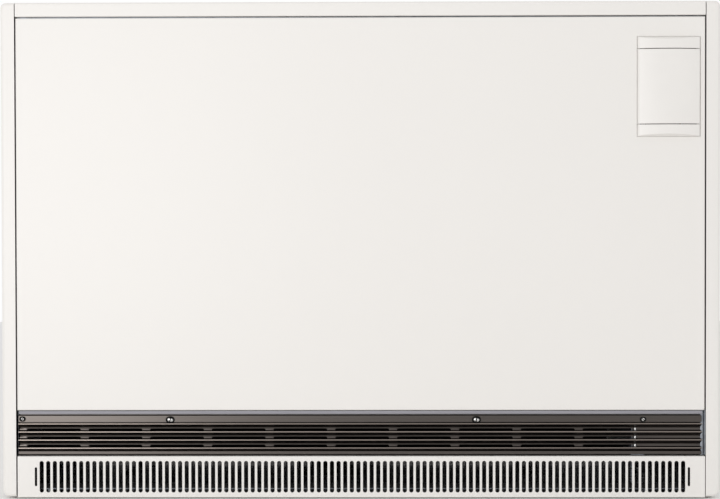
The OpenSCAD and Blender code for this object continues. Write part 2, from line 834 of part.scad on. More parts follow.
module insulation_front() {
    color(board) box([core_x0, room_front_y, base_z], [core_x1, core_y0 - seat, inner_top_z]);
}

module insulation_rear() {
    color(board) difference() {
        box([core_x0, core_y1 + seat, base_z], [core_x1, room_back_y, inner_top_z]);
        for (side = [-1, 1])
            bar_y(wall_hole_r + 8, core_y1 - cut, room_back_y + cut,
                core_mid_x + side * wall_spacing / 2, case_h - wall_drop);
    }
}

module insulation_left() {
    color(board) box([room_left_x, room_front_y, base_z], [core_x0 - seat, room_back_y, inner_top_z]);
}

// Right board, with holes for the element ends and the sensor
module insulation_right() {
    color(board) difference() {
        box([core_x1 + seat, room_front_y, base_z], [room_right_x, room_back_y, inner_top_z]);
        for (i = [0:2]) for (side = [-1, 1])
            bar_x(bead_r + seat, core_x1, room_right_x + cut,
                core_mid_y + side * leg_spacing / 2, element_z(i));
        bar_x(sensor_r + seat, core_x1, room_right_x + cut, core_mid_y, sensor_z);
    }
}

module insulation_top() {
    color(board) box([core_x0, core_y0, top_board_z], [core_x1, core_y1, inner_top_z]);
}

function element_z(i) = core_z0 + (2 * i + 1) * layer_pitch * layers / 6 - seat / 2;

// The run of a hairpin element between two brick layers, as a bar of radius r
module hairpin(r, z) {
    bend_x = core_x0 + leg_spacing / 2 + 18;
    for (side = [-1, 1])
        bar_x(r, bend_x, room_right_x, core_mid_y + side * leg_spacing / 2, z);
    translate([bend_x, core_mid_y, z]) rotate([0, 0, 90]) rotate_extrude(angle = 180)
        translate([leg_spacing / 2, 0]) circle(r);
}

// Two layers of bricks, with grooves for the element between them
module core_bricks(i) {
    color(brick) difference() {
        for (layer = [2 * i, 2 * i + 1]) for (column = [0:columns - 1])
            translate([core_x0 + column * column_pitch, core_y0, core_z0 + layer * layer_pitch])
                cube([column_pitch - seat, core_y1 - core_y0, layer_pitch - seat]);
        air_channels(core_z0 + 2 * i * layer_pitch - cut, core_z0 + (2 * i + 2) * layer_pitch + cut);
        hairpin(groove_r, element_z(i));
    }
}

module core_bricks_lower() {
    core_bricks(0);
}

module core_bricks_middle() {
    core_bricks(1);
}

module core_bricks_upper() {
    core_bricks(2);
}

// Hood over the bricks, under which the air crosses from the rear channels to the front ones
module air_deflector() {
    z0 = core_z1 + seat;
    z1 = top_board_z - seat;
    color(zinc) difference() {
        box([core_x0, core_y0, z0], [core_x1, core_y1, z1]);
        box([core_x0 + hood_t, core_y0 + hood_t, z0 - cut],
            [core_x1 - hood_t, core_y1 - hood_t, z1 - hood_t]);
    }
}

// Heating element: hairpin tube with a ceramic bead and a stud at each end
module heating_element(i) {
    bead_x = partition_x - 4;
    color(steel) {
        hairpin(tube_r, element_z(i));
        for (side = [-1, 1]) {
            y = core_mid_y + side * leg_spacing / 2;
            bar_x(bead_r, bead_x, bead_x + bead_l, y, element_z(i));
            bar_x(2, bead_x + bead_l - cut, stud_x, y, element_z(i));
        }
    }
}

module heating_element_lower() {
    heating_element(0);
}

module heating_element_middle() {
    heating_element(1);
}

module heating_element_upper() {
    heating_element(2);
}

// Sheet between the intake duct below and the outlet duct above
module air_divider() {
    color(zinc) union() {
        box([-bracket_x, rail_y, divider_z], [partition_x - seat, divider_back_y, divider_z + frame_t]);
        box([-bracket_x, divider_back_y - frame_t, divider_z - 12],
            [partition_x - seat, divider_back_y, divider_z + frame_t]);
    }
}

// One blower housing: two end plates on the pan, and a scroll sheet round the rear
module blower_housing() {
    foot_z = wall_z;
    plate_top_z = blower_z + scroll_r + 8;
    y0 = blower_y - scroll_r - 2;
    y1 = blower_y + scroll_r + 2;
    difference() {
        union() {
            for (x = [near_plate, far_plate])
                box([x, y0, foot_z], [x + frame_t, y1, plate_top_z]);
            box([near_plate - flange_w, y0, foot_z], [near_plate + frame_t, y1, foot_z + frame_t]);
            box([far_plate, y0, foot_z], [far_plate + flange_w, y1, foot_z + frame_t]);
            draw_along(near_plate, far_plate + frame_t) difference() {
                translate([blower_y, blower_z]) circle(scroll_r + frame_t);
                translate([blower_y, blower_z]) circle(scroll_r);
                translate([blower_y - 2 * scroll_r, blower_z - 2 * scroll_r])
                    square([2 * scroll_r, 4 * scroll_r]);
            }
            box([near_plate, blower_y - 2, blower_z - scroll_r - frame_t],
                [far_plate + frame_t, blower_y, blower_z - scroll_r]);
        }
        bar_x(bush_r + 2, near_plate - cut, near_plate + frame_t + cut, blower_y, blower_z);
        bar_x(bush_r + 0.2, far_plate - cut, far_plate + frame_t + cut, blower_y, blower_z);
    }
}

module blower_housings() {
    color(zinc) translate([motor_x, 0, 0]) for (side = [0, 1]) mirror([side, 0, 0]) blower_housing();
}

// Sintered bush with a flange, in each outer end plate
module blower_bushes() {
    color(copper) translate([motor_x, 0, 0]) for (side = [0, 1]) mirror([side, 0, 0]) difference() {
        union() {
            bar_x(bush_r, far_plate - 2, far_plate + frame_t + 3, blower_y, blower_z);
            bar_x(bush_r + 3, far_plate + frame_t + seat, far_plate + frame_t + 3, blower_y, blower_z);
        }
        bar_x(shaft_r + running, far_plate - 3, far_plate + frame_t + 4, blower_y, blower_z);
    }
}

// Shaded-pole motor: laminated stack, coil, end plates with bearings, and a foot
module blower_motor() {
    foot_z = wall_z - blower_z;
    color(black) translate([motor_x, blower_y, blower_z]) difference() {
        union() {
            box([-stack_x, -stack_y, -stack_low], [stack_x, stack_y, stack_high]);
            box([-stack_x - coil_t, -stack_y / 2, stack_high - coil_h - 3],
                [stack_x + coil_t, stack_y / 2, stack_high - 3]);
            for (side = [0, 1]) mirror([side, 0, 0]) {
                box([end_x - 2, -end_y, -12], [end_x, end_y, 12]);
                for (y = [5 - end_y, end_y - 5]) bar_x(3, stack_x - cut, end_x - 1, y, 0);
                bar_x(9, end_x - 4, end_x + 3, 0, 0);
            }
            for (side = [0, 1]) mirror([0, side, 0])
                box([-stack_x, stack_y - 2, foot_z], [stack_x, stack_y, 1 - stack_low]);
            box([-stack_x, -stack_y - 8, foot_z], [stack_x, stack_y + 8, foot_z + frame_t]);
        }
        bar_x(motor_bore_r, -stack_x - cut, stack_x + cut, 0, 0);
        bar_x(shaft_r + running, -end_x - 4, end_x + 4, 0, 0);
    }
}

// Shaft with the motor's rotor
module blower_shaft() {
    end = far_plate + frame_t + 6;
    color(steel) union() {
        bar_x(shaft_r, motor_x - end, motor_x + end, blower_y, blower_z);
        bar_x(rotor_r, motor_x - 13, motor_x + 13, blower_y, blower_z);
    }
}

// One blade's outline: a thin arc between the disc's rim and its inner ring
module blade_outline() {
    blade_w = 9;
    arc_r = 9;
    arc_t = 0.9;
    half = asin(blade_w / 2 / arc_r);
    translate([impeller_r - blade_w / 2, 0]) rotate(-55) polygon(concat(
        [for (k = [0:6]) let (a = -half + k * half / 3) [arc_r * sin(a), arc_r * (cos(a) - cos(half))]],
        [for (k = [6:-1:0]) let (a = -half + k * half / 3)
            [arc_r * sin(a), arc_r * (cos(a) - cos(half)) - arc_t]]));
}

// Impeller from its near disc at x0
module impeller(x0) {
    disc_t = 2;
    color(steel) difference() {
        union() {
            for (x = [x0, x0 + impeller_l / 2, x0 + impeller_l - disc_t])
                bar_x(impeller_r, x, x + disc_t, blower_y, blower_z);
            for (x = [x0, x0 + impeller_l - disc_t - 6])
                bar_x(shaft_r + 4, x, x + disc_t + 6, blower_y, blower_z);
            translate([0, blower_y, blower_z]) draw_along(x0 + disc_t / 2, x0 + impeller_l - disc_t / 2)
                for (k = [0:blades - 1]) rotate(k * 360 / blades) blade_outline();
        }
        bar_x(shaft_r + running, x0 - cut, x0 + impeller_l + cut, blower_y, blower_z);
    }
}

module impeller_left() {
    impeller(motor_x - motor_half - impeller_l);
}

module impeller_right() {
    impeller(motor_x + motor_half);
}

// Mixing damper: blade on a pivot rod under the core tray
module mixing_damper() {
    color(zinc) union() {
        bar_x(rod_r, -wall_out_x + 0.4, partition_x + frame_t - 0.4, damper_y, damper_z);
        box([coil_x + coil_l + 6, damper_y - 0.8, damper_z - damper_h],
            [partition_x - ledge_w - 4, damper_y + 0.8, damper_z]);
    }
}

// Spiral of bimetal round the rod, held by a post on the side wall
module bimetal_coil() {
    turns = 3;
    gap = 2.2;
    strip = 1;
    r0 = rod_r + 0.6;
    steps = 72;
    r_end = r0 + turns * gap + strip / 2;
    color(copper) union() {
        translate([0, damper_y, damper_z]) draw_along(coil_x, coil_x + coil_l) polygon(concat(
            [for (k = [0:steps]) let (a = k * 360 * turns / steps, r = r0 + gap * k / steps * turns)
                [r * cos(a), r * sin(a)]],
            [for (k = [steps:-1:0])
                let (a = k * 360 * turns / steps, r = r0 + strip + gap * k / steps * turns)
                [r * cos(a), r * sin(a)]]));
        bar_x(2, -wall_in_x + seat, coil_x + coil_l, damper_y + r_end, damper_z);
    }
}

// Upright plate across the electrical compartment
module terminal_plate() {
    color(zinc) difference() {
        union() {
            box([elec_x0, plate_y, plate_z], [elec_x1, plate_back_y, plate_z + plate_h]);
            for (x = [elec_x0, elec_x1 - frame_t])
                box([x, plate_y, plate_z], [x + frame_t, plate_back_y + plate_fold, plate_z + plate_h]);
        }
        for (i = [0:2]) for (side = [-1, 1])
            bar_x(bead_r + seat, elec_x0 - cut, elec_x0 + frame_t + cut,
                core_mid_y + side * leg_spacing / 2, element_z(i));
        box([elec_mid_x - window_w / 2, plate_y - cut, relay_z + window_rise],
            [elec_mid_x + window_w / 2, plate_back_y + cut, relay_z + window_rise + window_w / 2]);
    }
}

// Terminal block for the mains cable
module mains_terminal_block() {
    poles = 5;
    width = elec_w - 24;
    color(ceramic) difference() {
        box([elec_mid_x - width / 2, plate_y - seat - block_d, block_z],
            [elec_mid_x + width / 2, plate_y - seat, block_z + block_h]);
        for (k = [0:poles - 1])
            bar_y(3, plate_y - seat - block_d - cut, plate_y - block_d + 5,
                elec_mid_x + (k - (poles - 1) / 2) * width / poles, block_z + block_h / 2);
        for (k = [1:poles - 1])
            translate([elec_mid_x + (k - poles / 2) * width / poles - 1, plate_y - seat - block_d - cut,
                block_z - cut]) cube([2, 8, block_h + 2 * cut]);
    }
}

// Power relay behind the plate, next to the element ends
module power_relay() {
    color(black) difference() {
        box([relay_x, relay_y, relay_z], [elec_x1 - 6, relay_y + relay_d, relay_z + relay_h]);
        for (z = [relay_z, relay_z + relay_h - 10])
            box([relay_x + 8, relay_y + relay_d - 8, z - cut],
                [elec_x1 - 14, relay_y + relay_d + cut, z + 10 + cut]);
    }
}

// Charge controller on the front of the plate
module charge_controller() {
    width = elec_w - 2 * controller_side;
    color(ceramic) difference() {
        box([elec_mid_x - width / 2, plate_y - seat - controller_d, controller_z],
            [elec_mid_x + width / 2, plate_y - seat, controller_z + controller_h]);
        bar_y(dial_shaft_r + running, plate_y - seat - controller_d - cut,
            plate_y - seat - controller_d + 14, elec_mid_x, knob_z);
    }
}

// Knob that trims the charge, with a flat pointer rib
module charge_trim_knob() {
    face_y = plate_y - 2 * seat - controller_d;
    color(black) union() {
        bar_y(knob_r, face_y - 8, face_y, elec_mid_x, knob_z);
        bar_y(dial_shaft_r, face_y - cut, face_y + 12, elec_mid_x, knob_z);
        box([elec_mid_x - 1.2, face_y - 10, knob_z - knob_r + 1],
            [elec_mid_x + 1.2, face_y - 7, knob_z + knob_r - 1]);
    }
}

// Safety limiter: a round body on the plate, with a bore for its reset button
module safety_limiter() {
    color(black) difference() {
        union() {
            bar_y(limiter_r, plate_y - seat - limiter_d, plate_y - seat, elec_mid_x, limiter_z);
            bar_y(button_r + 3, plate_y - seat - limiter_d - 4, plate_y - seat - limiter_d + cut,
                elec_mid_x, limiter_z);
        }
        bar_y(button_r + running, plate_y - seat - limiter_d - 4 - cut, plate_y - seat - 3,
            elec_mid_x, limiter_z);
    }
}

module limiter_reset_button() {
    y0 = plate_y - seat - limiter_d - 4 - button_travel - 1;
    color("red") bar_y(button_r, y0, plate_y - seat - 3 - button_travel - 0.3, elec_mid_x, limiter_z);
}

// Core temperature sensor: a probe with a hexagonal nut on the partition
module core_sensor() {
    nut_x = partition_x + frame_t + seat;
    color(steel) union() {
        bar_x(sensor_r, core_x1 + 2 * seat, nut_x + 14, core_mid_y, sensor_z);
        translate([nut_x, core_mid_y, sensor_z]) rotate([0, 90, 0]) cylinder(r = 7, h = 5, $fn = 6);
    }
}

// Grommet in the rear panel, for the mains cable
module cable_grommet() {
    outer_r = cable_r + grommet_lip;
    color(black) difference() {
        union() {
            bar_y(outer_r, rear_in_y - 6, back_y, elec_mid_x, cable_z);
            bar_y(outer_r + 3, rear_in_y - 6, rear_in_y - seat, elec_mid_x, cable_z);
        }
        bar_y(cable_r, rear_in_y - 6 - cut, back_y + cut, elec_mid_x, cable_z);
    }
}

function unit(v) = v / norm(v);
function mirrored(ring, n) = [for (v = ring) v - 2 * (v * n) * n];
function mitre(c, ring, d, n) = [for (v = ring) c + v - d * ((v * n) / (d * n))];
function wire_rings(p, ring, i = 1) =
    let (d = unit(p[i] - p[i - 1]))
    i == len(p) - 1 ? [[for (v = ring) p[i] + v]]
    : let (n = unit(d + unit(p[i + 1] - p[i])))
        concat([mitre(p[i], ring, d, n)], wire_rings(p, mirrored(ring, n), i + 1));

// A wire along square bends, mitred at each one
module wire(p, r) {
    sides = 8;
    d = unit(p[1] - p[0]);
    u = abs(d[2]) < 0.9 ? unit(cross(d, [0, 0, 1])) : [1, 0, 0];
    v = cross(d, u);
    ring = [for (k = [0:sides - 1]) let (a = k * 360 / sides) r * (cos(a) * u + sin(a) * v)];
    rings = concat([[for (q = ring) p[0] + q]], wire_rings(p, ring));
    last = sides * (len(rings) - 1);
    polyhedron(
        points = [for (each_ring = rings) each each_ring],
        faces = concat(
            [for (k = [1:sides - 2]) [0, k, k + 1]],
            [for (i = [0:len(rings) - 2]) for (k = [0:sides - 1]) each
                let (a = i * sides + k, b = i * sides + (k + 1) % sides)
                [[a, a + sides, b], [b, a + sides, b + sides]]],
            [for (k = [1:sides - 2]) [last, last + k + 1, last + k]]));
}

// Wires from the element studs to the relay, from the mains block to the relay,
// and from the charge controller up to the control module
module internal_wiring() {
    pitch = 2 * wire_r + 0.8;
    color(copper) {
        for (i = [0:2]) for (side = [-1, 1]) {
            y = core_mid_y + side * leg_spacing / 2;
            run_x = stud_x + seat + wire_r + i * pitch;
            run_z = relay_z + run_rise + i * run_pitch;
            end_y = relay_y + relay_d / 2 + side * run_half;
            wire([[stud_x + seat / 2, y, element_z(i)], [run_x, y, element_z(i)], [run_x, y, run_z],
                [run_x, end_y, run_z], [relay_x - seat / 2, end_y, run_z]], wire_r);
        }
        for (k = [-1, 0, 1]) {
            x = elec_mid_x + k * feed_pitch;
            y = plate_y - seat - block_d / 2;
            wire([[x, y, block_z + block_h + seat / 2], [x, y, feed_z],
                [x, relay_y - seat / 2, feed_z]], wire_r);
        }
        for (k = [-1, 1]) {
            x = elec_mid_x + k * lead_x;
            y = plate_y - controller_d / 2;
            wire([[x, y, controller_z + controller_h + seat / 2], [x, y, lead_z],
                [x, tray_back_y + seat / 2, lead_z]], wire_r);
        }
    }
}

// The module's plan outline: a bow with a round hinge edge, drawn in by a wall
module bow_outline(wall) {
    edge_x = module_x1 - wall;
    intersection() {
        translate([module_mid_x, bow_y]) circle(bow_r - wall);
        translate([hinge_x, front_y - module_proud - cut]) square([edge_x - hinge_x, module_proud + 4]);
    }
}

// An end cap of the module, from z0 to z1
module end_cap(z0, z1) {
    translate([0, 0, z0]) linear_extrude(z1 - z0) {
        bow_outline(0);
        translate([hinge_x, hinge_y]) circle(hinge_r);
    }
}

// Housing: tray behind the flap, a flange behind the panel, and the two end caps
module module_housing() {
    lean_d = module_proud + 5;
    flange = 3;
    trough_r = hinge_r + module_clear;
    color(white) difference() {
        union() {
            end_cap(module_z, flap_z0);
            end_cap(flap_z1, module_top_z);
            box([module_x0 - flange, housing_y, module_z - flange],
                [module_x1 + flange, housing_y + tray_wall, module_top_z + flange]);
            box([module_x0 - tray_wall, housing_y, flap_z0 - tray_wall],
                [tray_x0, hinge_y + trough_r + tray_wall, flap_z1 + tray_wall]);
            box([tray_x0 - tray_wall, housing_y, tray_z0 - tray_wall],
                [tray_x1 + tray_wall, tray_back_y, tray_z1 + tray_wall]);
        }
        translate([hinge_x, hinge_y, flap_z0]) cylinder(r = trough_r, h = flap_z1 - flap_z0);
        box([tray_x0, front_y - module_proud, tray_z0], [tray_x1, tray_back_y - tray_wall, tray_z1]);
        translate([hinge_x, hinge_y, flap_z0 - pin_l / 2])
            cylinder(r = pin_r + 0.02, h = flap_z1 - flap_z0 + pin_l);
        draw_along(module_x0 - cut, module_x1 + cut) {
            polygon([[front_y, module_top_z], [front_y, module_top_z + cut],
                [front_y - lean_d, module_top_z + cut],
                [front_y - lean_d, module_top_z - lean_d * module_lean]]);
            polygon([[front_y, module_z], [front_y, module_z - cut], [front_y - lean_d, module_z - cut],
                [front_y - lean_d, module_z + lean_d * module_lean]]);
        }
    }
}

// Flap: a bowed skin with a round hinge edge and a lip along its free edge
module control_flap() {
    lip_t = 1.6;
    edge_y = front_y - module_side;
    z0 = flap_z0 + flap_gap;
    z1 = flap_z1 - flap_gap;
    color(white) difference() {
        translate([0, 0, z0]) linear_extrude(z1 - z0) {
            difference() {
                bow_outline(0);
                translate([module_mid_x, bow_y]) circle(bow_r - flap_t);
            }
            translate([hinge_x, hinge_y]) circle(hinge_r);
            translate([module_x1 - lip_t, edge_y + 1]) square([lip_t, housing_y - seat - edge_y - 1]);
        }
        for (z = [z0 - cut, z1 - pin_l / 2 - 0.5])
            translate([hinge_x, hinge_y, z]) cylinder(r = pin_r + running, h = pin_l / 2 + 0.5 + cut);
    }
}

// Hinge pins, pressed into the end caps
module flap_pins() {
    reach = pin_l / 2 + flap_gap;
    color(steel) for (z = [flap_z0 - pin_l / 2 + 0.2, flap_z1 - reach])
        translate([hinge_x, hinge_y, z]) cylinder(r = pin_r, h = pin_l + flap_gap - 0.2);
}

// Fascia in the tray, with ears behind it for the rocker's pivots
module module_fascia() {
    ear_x = rocker_w / 2 + 0.6;
    color(white_shade) difference() {
        union() {
            box([tray_x0 + seat, fascia_y, tray_z0 + seat],
                [tray_x1 - seat, fascia_back_y, tray_z1 - seat]);
            for (side = [0, 1]) translate([dial_x, 0, 0]) mirror([side, 0, 0])
                box([ear_x, fascia_y + 0.5, rocker_z - 4], [ear_x + 2.4, rocker_y + 3, rocker_z + 4]);
        }
        bar_y(dial_shaft_r + running, fascia_y - cut, fascia_back_y + cut, dial_x, dial_z);
        bar_y(lamp_r + 0.1, fascia_y - cut, fascia_back_y + cut, lamp_x, rocker_z);
        box([dial_x - rocker_w / 2 - 0.4, fascia_y - cut, rocker_z - rocker_h / 2 - 1],
            [dial_x + rocker_w / 2 + 0.4, fascia_back_y + cut, rocker_z + rocker_h / 2 + 1]);
        bar_x(1.2 + running, dial_x - ear_x - 3, dial_x + ear_x + 3, rocker_y, rocker_z);
    }
}

// Dial: a skirt, a fluted cap with a pointer rib, and a shaft
module thermostat_dial() {
    cap_r = dial_r - 5;
    flutes = 16;
    color(white_shade) difference() {
        union() {
            bar_y(dial_r, dial_back_y - 2.6, dial_back_y, dial_x, dial_z);
            bar_y(cap_r, dial_back_y - dial_h + 0.6, dial_back_y - 2, dial_x, dial_z);
            box([dial_x - 1.2, dial_back_y - dial_h, dial_z + 2],
                [dial_x + 1.2, dial_back_y - 2, dial_z + cap_r - 1.6]);
            bar_y(dial_shaft_r, dial_back_y - cut, fascia_back_y + pot_d - 1.5, dial_x, dial_z);
        }
        for (k = [0:flutes - 1])
            bar_y(1.2, dial_back_y - dial_h - cut, dial_back_y - 2.6,
                dial_x + cap_r * cos((k + 0.5) * 360 / flutes) * 1.03,
                dial_z + cap_r * sin((k + 0.5) * 360 / flutes) * 1.03);
    }
}

// Potentiometer behind the fascia, which the dial's shaft turns
module dial_potentiometer() {
    y0 = fascia_back_y + seat;
    color(black) difference() {
        union() {
            bar_y(9, y0, fascia_back_y + pot_d, dial_x, dial_z);
            box([dial_x - 6, y0, dial_z - 14], [dial_x + 6, y0 + 2, dial_z]);
        }
        bar_y(dial_shaft_r + running, y0 - cut, fascia_back_y + pot_d + cut, dial_x, dial_z);
    }
}

// Rocker, at rest with its lower half pressed in
module rocker_switch() {
    half = rocker_h / 2;
    front = rocker_y - fascia_y + 2.4;
    color(black) translate([0, rocker_y, rocker_z]) union() {
        rotate([rocker_tilt, 0, 0]) draw_along(dial_x - rocker_w / 2, dial_x + rocker_w / 2)
            polygon([[2, -half + 1], [2, half - 1], [-2, half], [-front + 1.6, half - 0.4],
                [-front, 0], [-front + 1.6, -half + 0.4], [-2, -half]]);
        bar_x(1.2, dial_x - rocker_w / 2 - 2.6, dial_x + rocker_w / 2 + 2.6, 0, 0);
    }
}

module pilot_lamp() {
    color("orange") union() {
        bar_y(lamp_r, fascia_y - 0.6, fascia_back_y + 4, lamp_x, rocker_z);
        bar_y(lamp_r - 0.5, fascia_y - 1.1, fascia_y, lamp_x, rocker_z);
        bar_y(lamp_r + 1.2, fascia_back_y + seat, fascia_back_y + 1.8, lamp_x, rocker_z);
    }
}

side_cover_left();
side_cover_right();
top_cover();
front_panel();
rear_panel();
intake_panel();
lint_filter();
outlet_grille();
grille_end_brackets();
grille_rivets();
grille_fastener_left();
grille_fastener_right();
grille_screws();
base_frame();
side_wall_left();
side_wall_right();
partition_wall();
core_tray();
upper_front_rail();
lower_front_rail();
insulation_base();
insulation_front();
insulation_rear();
insulation_left();
insulation_right();
insulation_top();
core_bricks_lower();
core_bricks_middle();
core_bricks_upper();
air_deflector();
heating_element_lower();
heating_element_middle();
heating_element_upper();
air_divider();
blower_housings();
blower_motor();
blower_shaft();
impeller_left();
impeller_right();
blower_bushes();
mixing_damper();
bimetal_coil();
terminal_plate();
mains_terminal_block();
power_relay();
charge_controller();
charge_trim_knob();
safety_limiter();
limiter_reset_button();
core_sensor();
cable_grommet();
internal_wiring();
module_housing();
control_flap();
flap_pins();
module_fascia();
thermostat_dial();
dial_potentiometer();
rocker_switch();
pilot_lamp();
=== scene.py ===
# %% [markdown]
# # A night storage heater
# The heater is a painted steel case round a core of bricks that is heated at night. Seen from the
# front it is four rows: the edge of the lid, a plain panel with the control module, a bronze
# grille that lets the warm air out, and a slotted panel that takes room air in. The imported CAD
# model is the fixed frame, so every piece made here is measured from it, and only the looks are
# new.
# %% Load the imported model
import json
import math

import bmesh
import bpy
from mathutils import Matrix, Vector


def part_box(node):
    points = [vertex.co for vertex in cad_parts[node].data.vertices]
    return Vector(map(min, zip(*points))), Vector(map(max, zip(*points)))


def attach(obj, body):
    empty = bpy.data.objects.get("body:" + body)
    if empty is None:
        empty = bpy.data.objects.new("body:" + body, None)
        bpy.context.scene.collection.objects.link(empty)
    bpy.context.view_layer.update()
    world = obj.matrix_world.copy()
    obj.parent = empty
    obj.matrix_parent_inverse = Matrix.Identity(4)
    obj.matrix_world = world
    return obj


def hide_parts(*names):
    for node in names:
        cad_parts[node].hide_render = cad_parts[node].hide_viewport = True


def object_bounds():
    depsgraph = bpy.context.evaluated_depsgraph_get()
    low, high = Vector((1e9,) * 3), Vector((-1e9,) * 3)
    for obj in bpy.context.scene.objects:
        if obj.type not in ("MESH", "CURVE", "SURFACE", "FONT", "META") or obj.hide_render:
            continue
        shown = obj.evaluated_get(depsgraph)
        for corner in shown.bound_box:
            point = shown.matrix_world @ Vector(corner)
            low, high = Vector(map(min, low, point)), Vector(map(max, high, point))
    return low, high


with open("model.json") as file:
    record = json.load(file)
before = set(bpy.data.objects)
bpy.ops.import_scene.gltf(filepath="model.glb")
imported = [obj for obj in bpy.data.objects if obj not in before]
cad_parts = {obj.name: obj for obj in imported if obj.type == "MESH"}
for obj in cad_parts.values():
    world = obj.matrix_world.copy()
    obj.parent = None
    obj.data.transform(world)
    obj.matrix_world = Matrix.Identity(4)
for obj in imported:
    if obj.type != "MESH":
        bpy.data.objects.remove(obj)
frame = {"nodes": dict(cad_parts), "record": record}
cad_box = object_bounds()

scene = bpy.context.scene

# %% [markdown]
# The camera looks almost straight at the front, from a little above and to the right of its
# middle, because in the photograph the case is half a percent wider at the top and its rows open
# slightly to the right. Its place and angles come from the seams and row lines, with no shift. It
# could also be aimed with a tracking constraint, but a place and three angles are easier to read.
# %% The camera
CAMERA_AT = (0.034, -2.7205, 0.3848)
CAMERA_YAW, CAMERA_PITCH, CAMERA_ROLL = 0.013, -0.0205, -0.0019
LENS_MM, SENSOR_MM = 97.9, 36.0


def make_camera():
    """A camera turned about the vertical, then tipped, then rolled."""
    optics = bpy.data.cameras.new("camera")
    optics.lens = LENS_MM
    optics.sensor_width = SENSOR_MM
    camera = bpy.data.objects.new("camera", optics)
    scene.collection.objects.link(camera)
    turn = Matrix.Rotation(CAMERA_YAW, 4, "Z")
    tip = Matrix.Rotation(math.pi / 2 + CAMERA_PITCH, 4, "X")
    roll = Matrix.Rotation(CAMERA_ROLL, 4, "Z")
    camera.matrix_world = Matrix.Translation(CAMERA_AT) @ turn @ tip @ roll
    scene.camera = camera
    return camera


print("camera at", tuple(make_camera().matrix_world.translation))

# %% [markdown]
# Colours are written as sRGB hex codes, as they would be read off a paint chart, and one function
# turns them into the linear values that a node wants. Another adds a node, with each of its inputs
# either set to a value or joined to the output of another node. A third starts an empty material.
# %% Colours and nodes
CASE_HEX = "#F1EEEA"


def linear(code):
    """The linear colour, with its alpha, of an sRGB hex code such as #F0EDE9."""
    values = [int(code[i:i + 2], 16) / 255 for i in (1, 3, 5)]
    return (*[v / 12.92 if v <= 0.04045 else ((v + 0.055) / 1.055) ** 2.4 for v in values], 1.0)


def add_node(tree, kind, inputs=(), **settings):
    """Adds a node. An input takes a value, or the output socket of another node."""
    node = tree.nodes.new(kind)
    for name, value in settings.items():
        setattr(node, name, value)
    for key, value in dict(inputs).items():
        if isinstance(value, bpy.types.NodeSocket):
            tree.links.new(value, node.inputs[key])
        else:
            node.inputs[key].default_value = value
    return node


def start_finish(name):
    """An empty material: its node tree, and the place on the piece in metres."""
    finish = bpy.data.materials.new(name)
    finish.use_nodes = True
    finish.node_tree.nodes.clear()
    place = add_node(finish.node_tree, "ShaderNodeTexCoord").outputs["Object"]
    return finish, finish.node_tree, place


print("the case's white", CASE_HEX, "is", [round(v, 3) for v in linear(CASE_HEX)])

# %% [markdown]
# Paint, metal and plastic have two things in common: their tone and gloss drift a little in soft
# patches, and a fine grain breaks up the light. Both are noise, so one function makes almost every
# finish here. An image could carry them too, but it would have to be drawn and unwrapped first.
# %% A finish with two tones and a grain
MIX_A, MIX_B, MIX_OUT = 6, 7, 2  # the colour sockets of a Mix node, which share their names
TONE_FROM, TONE_TO = 0.35, 0.65
GLOSS_FROM, GLOSS_TO, GLOSS_DRIFT = 0.3, 0.7, 0.02


def surface(name, light, dark, patch, grain, depth, rough, stretch=(1, 1, 1), **shader):
    """A finish with two tones in soft patches and a raised grain. Sizes are in millimetres."""
    finish, tree, place = start_finish(name)
    along = add_node(tree, "ShaderNodeMapping", {"Vector": place, "Scale": stretch}).outputs[0]
    patches = add_node(tree, "ShaderNodeTexNoise",
                       {"Vector": along, "Scale": 1000 / patch, "Detail": 3.0}).outputs["Fac"]
    spread = add_node(tree, "ShaderNodeMapRange",
                      {"Value": patches, "From Min": TONE_FROM, "From Max": TONE_TO})
    tone = add_node(tree, "ShaderNodeMix",
                    {0: spread.outputs["Result"], MIX_A: linear(dark), MIX_B: linear(light)},
                    data_type="RGBA").outputs[MIX_OUT]
    gloss = add_node(tree, "ShaderNodeMapRange",
                     {"Value": patches, "From Min": GLOSS_FROM, "From Max": GLOSS_TO,
                      "To Min": rough - GLOSS_DRIFT, "To Max": rough + GLOSS_DRIFT})
    grains = add_node(tree, "ShaderNodeTexNoise",
                      {"Vector": along, "Scale": 1000 / grain, "Detail": 2.0}).outputs["Fac"]
    bump = add_node(tree, "ShaderNodeBump",
                    {"Strength": 1.0, "Distance": depth / 1000, "Height": grains})
    skin = add_node(tree, "ShaderNodeBsdfPrincipled",
                    {"Base Color": tone, "Roughness": gloss.outputs["Result"],
                     "Normal": bump.outputs["Normal"], **shader})
    add_node(tree, "ShaderNodeOutputMaterial", {"Surface": skin.outputs["BSDF"]})
    return finish


print("gloss drifts by", GLOSS_DRIFT, "either way")

# %% [markdown]
# The case is steel sheet with a baked powder coat. Powder melts into a satin skin with a faint
# orange peel: waves 3 mm long that are only hundredths of a millimetre high. A flat colour would
# look like paper, so a low bump and a slightly uneven gloss carry the peel, under a warm white.
# The rear panel is coated thinner and greyer.
# %% Powder coat
COAT_PATCH, PEEL, PEEL_DEPTH = 350, 3.0, 0.012
COAT = {"IOR": 1.5}
powder_coat = surface("satin powder coat, warm white", CASE_HEX, "#F0EDE9", COAT_PATCH, PEEL,
                      PEEL_DEPTH, 0.42, **COAT)
rear_coat = surface("satin powder coat, thin grey white", "#E6E4E0", "#E4E2DE", COAT_PATCH, PEEL,
                    PEEL_DEPTH, 0.5, **COAT)
print("coats:", powder_coat.name, "and", rear_coat.name)

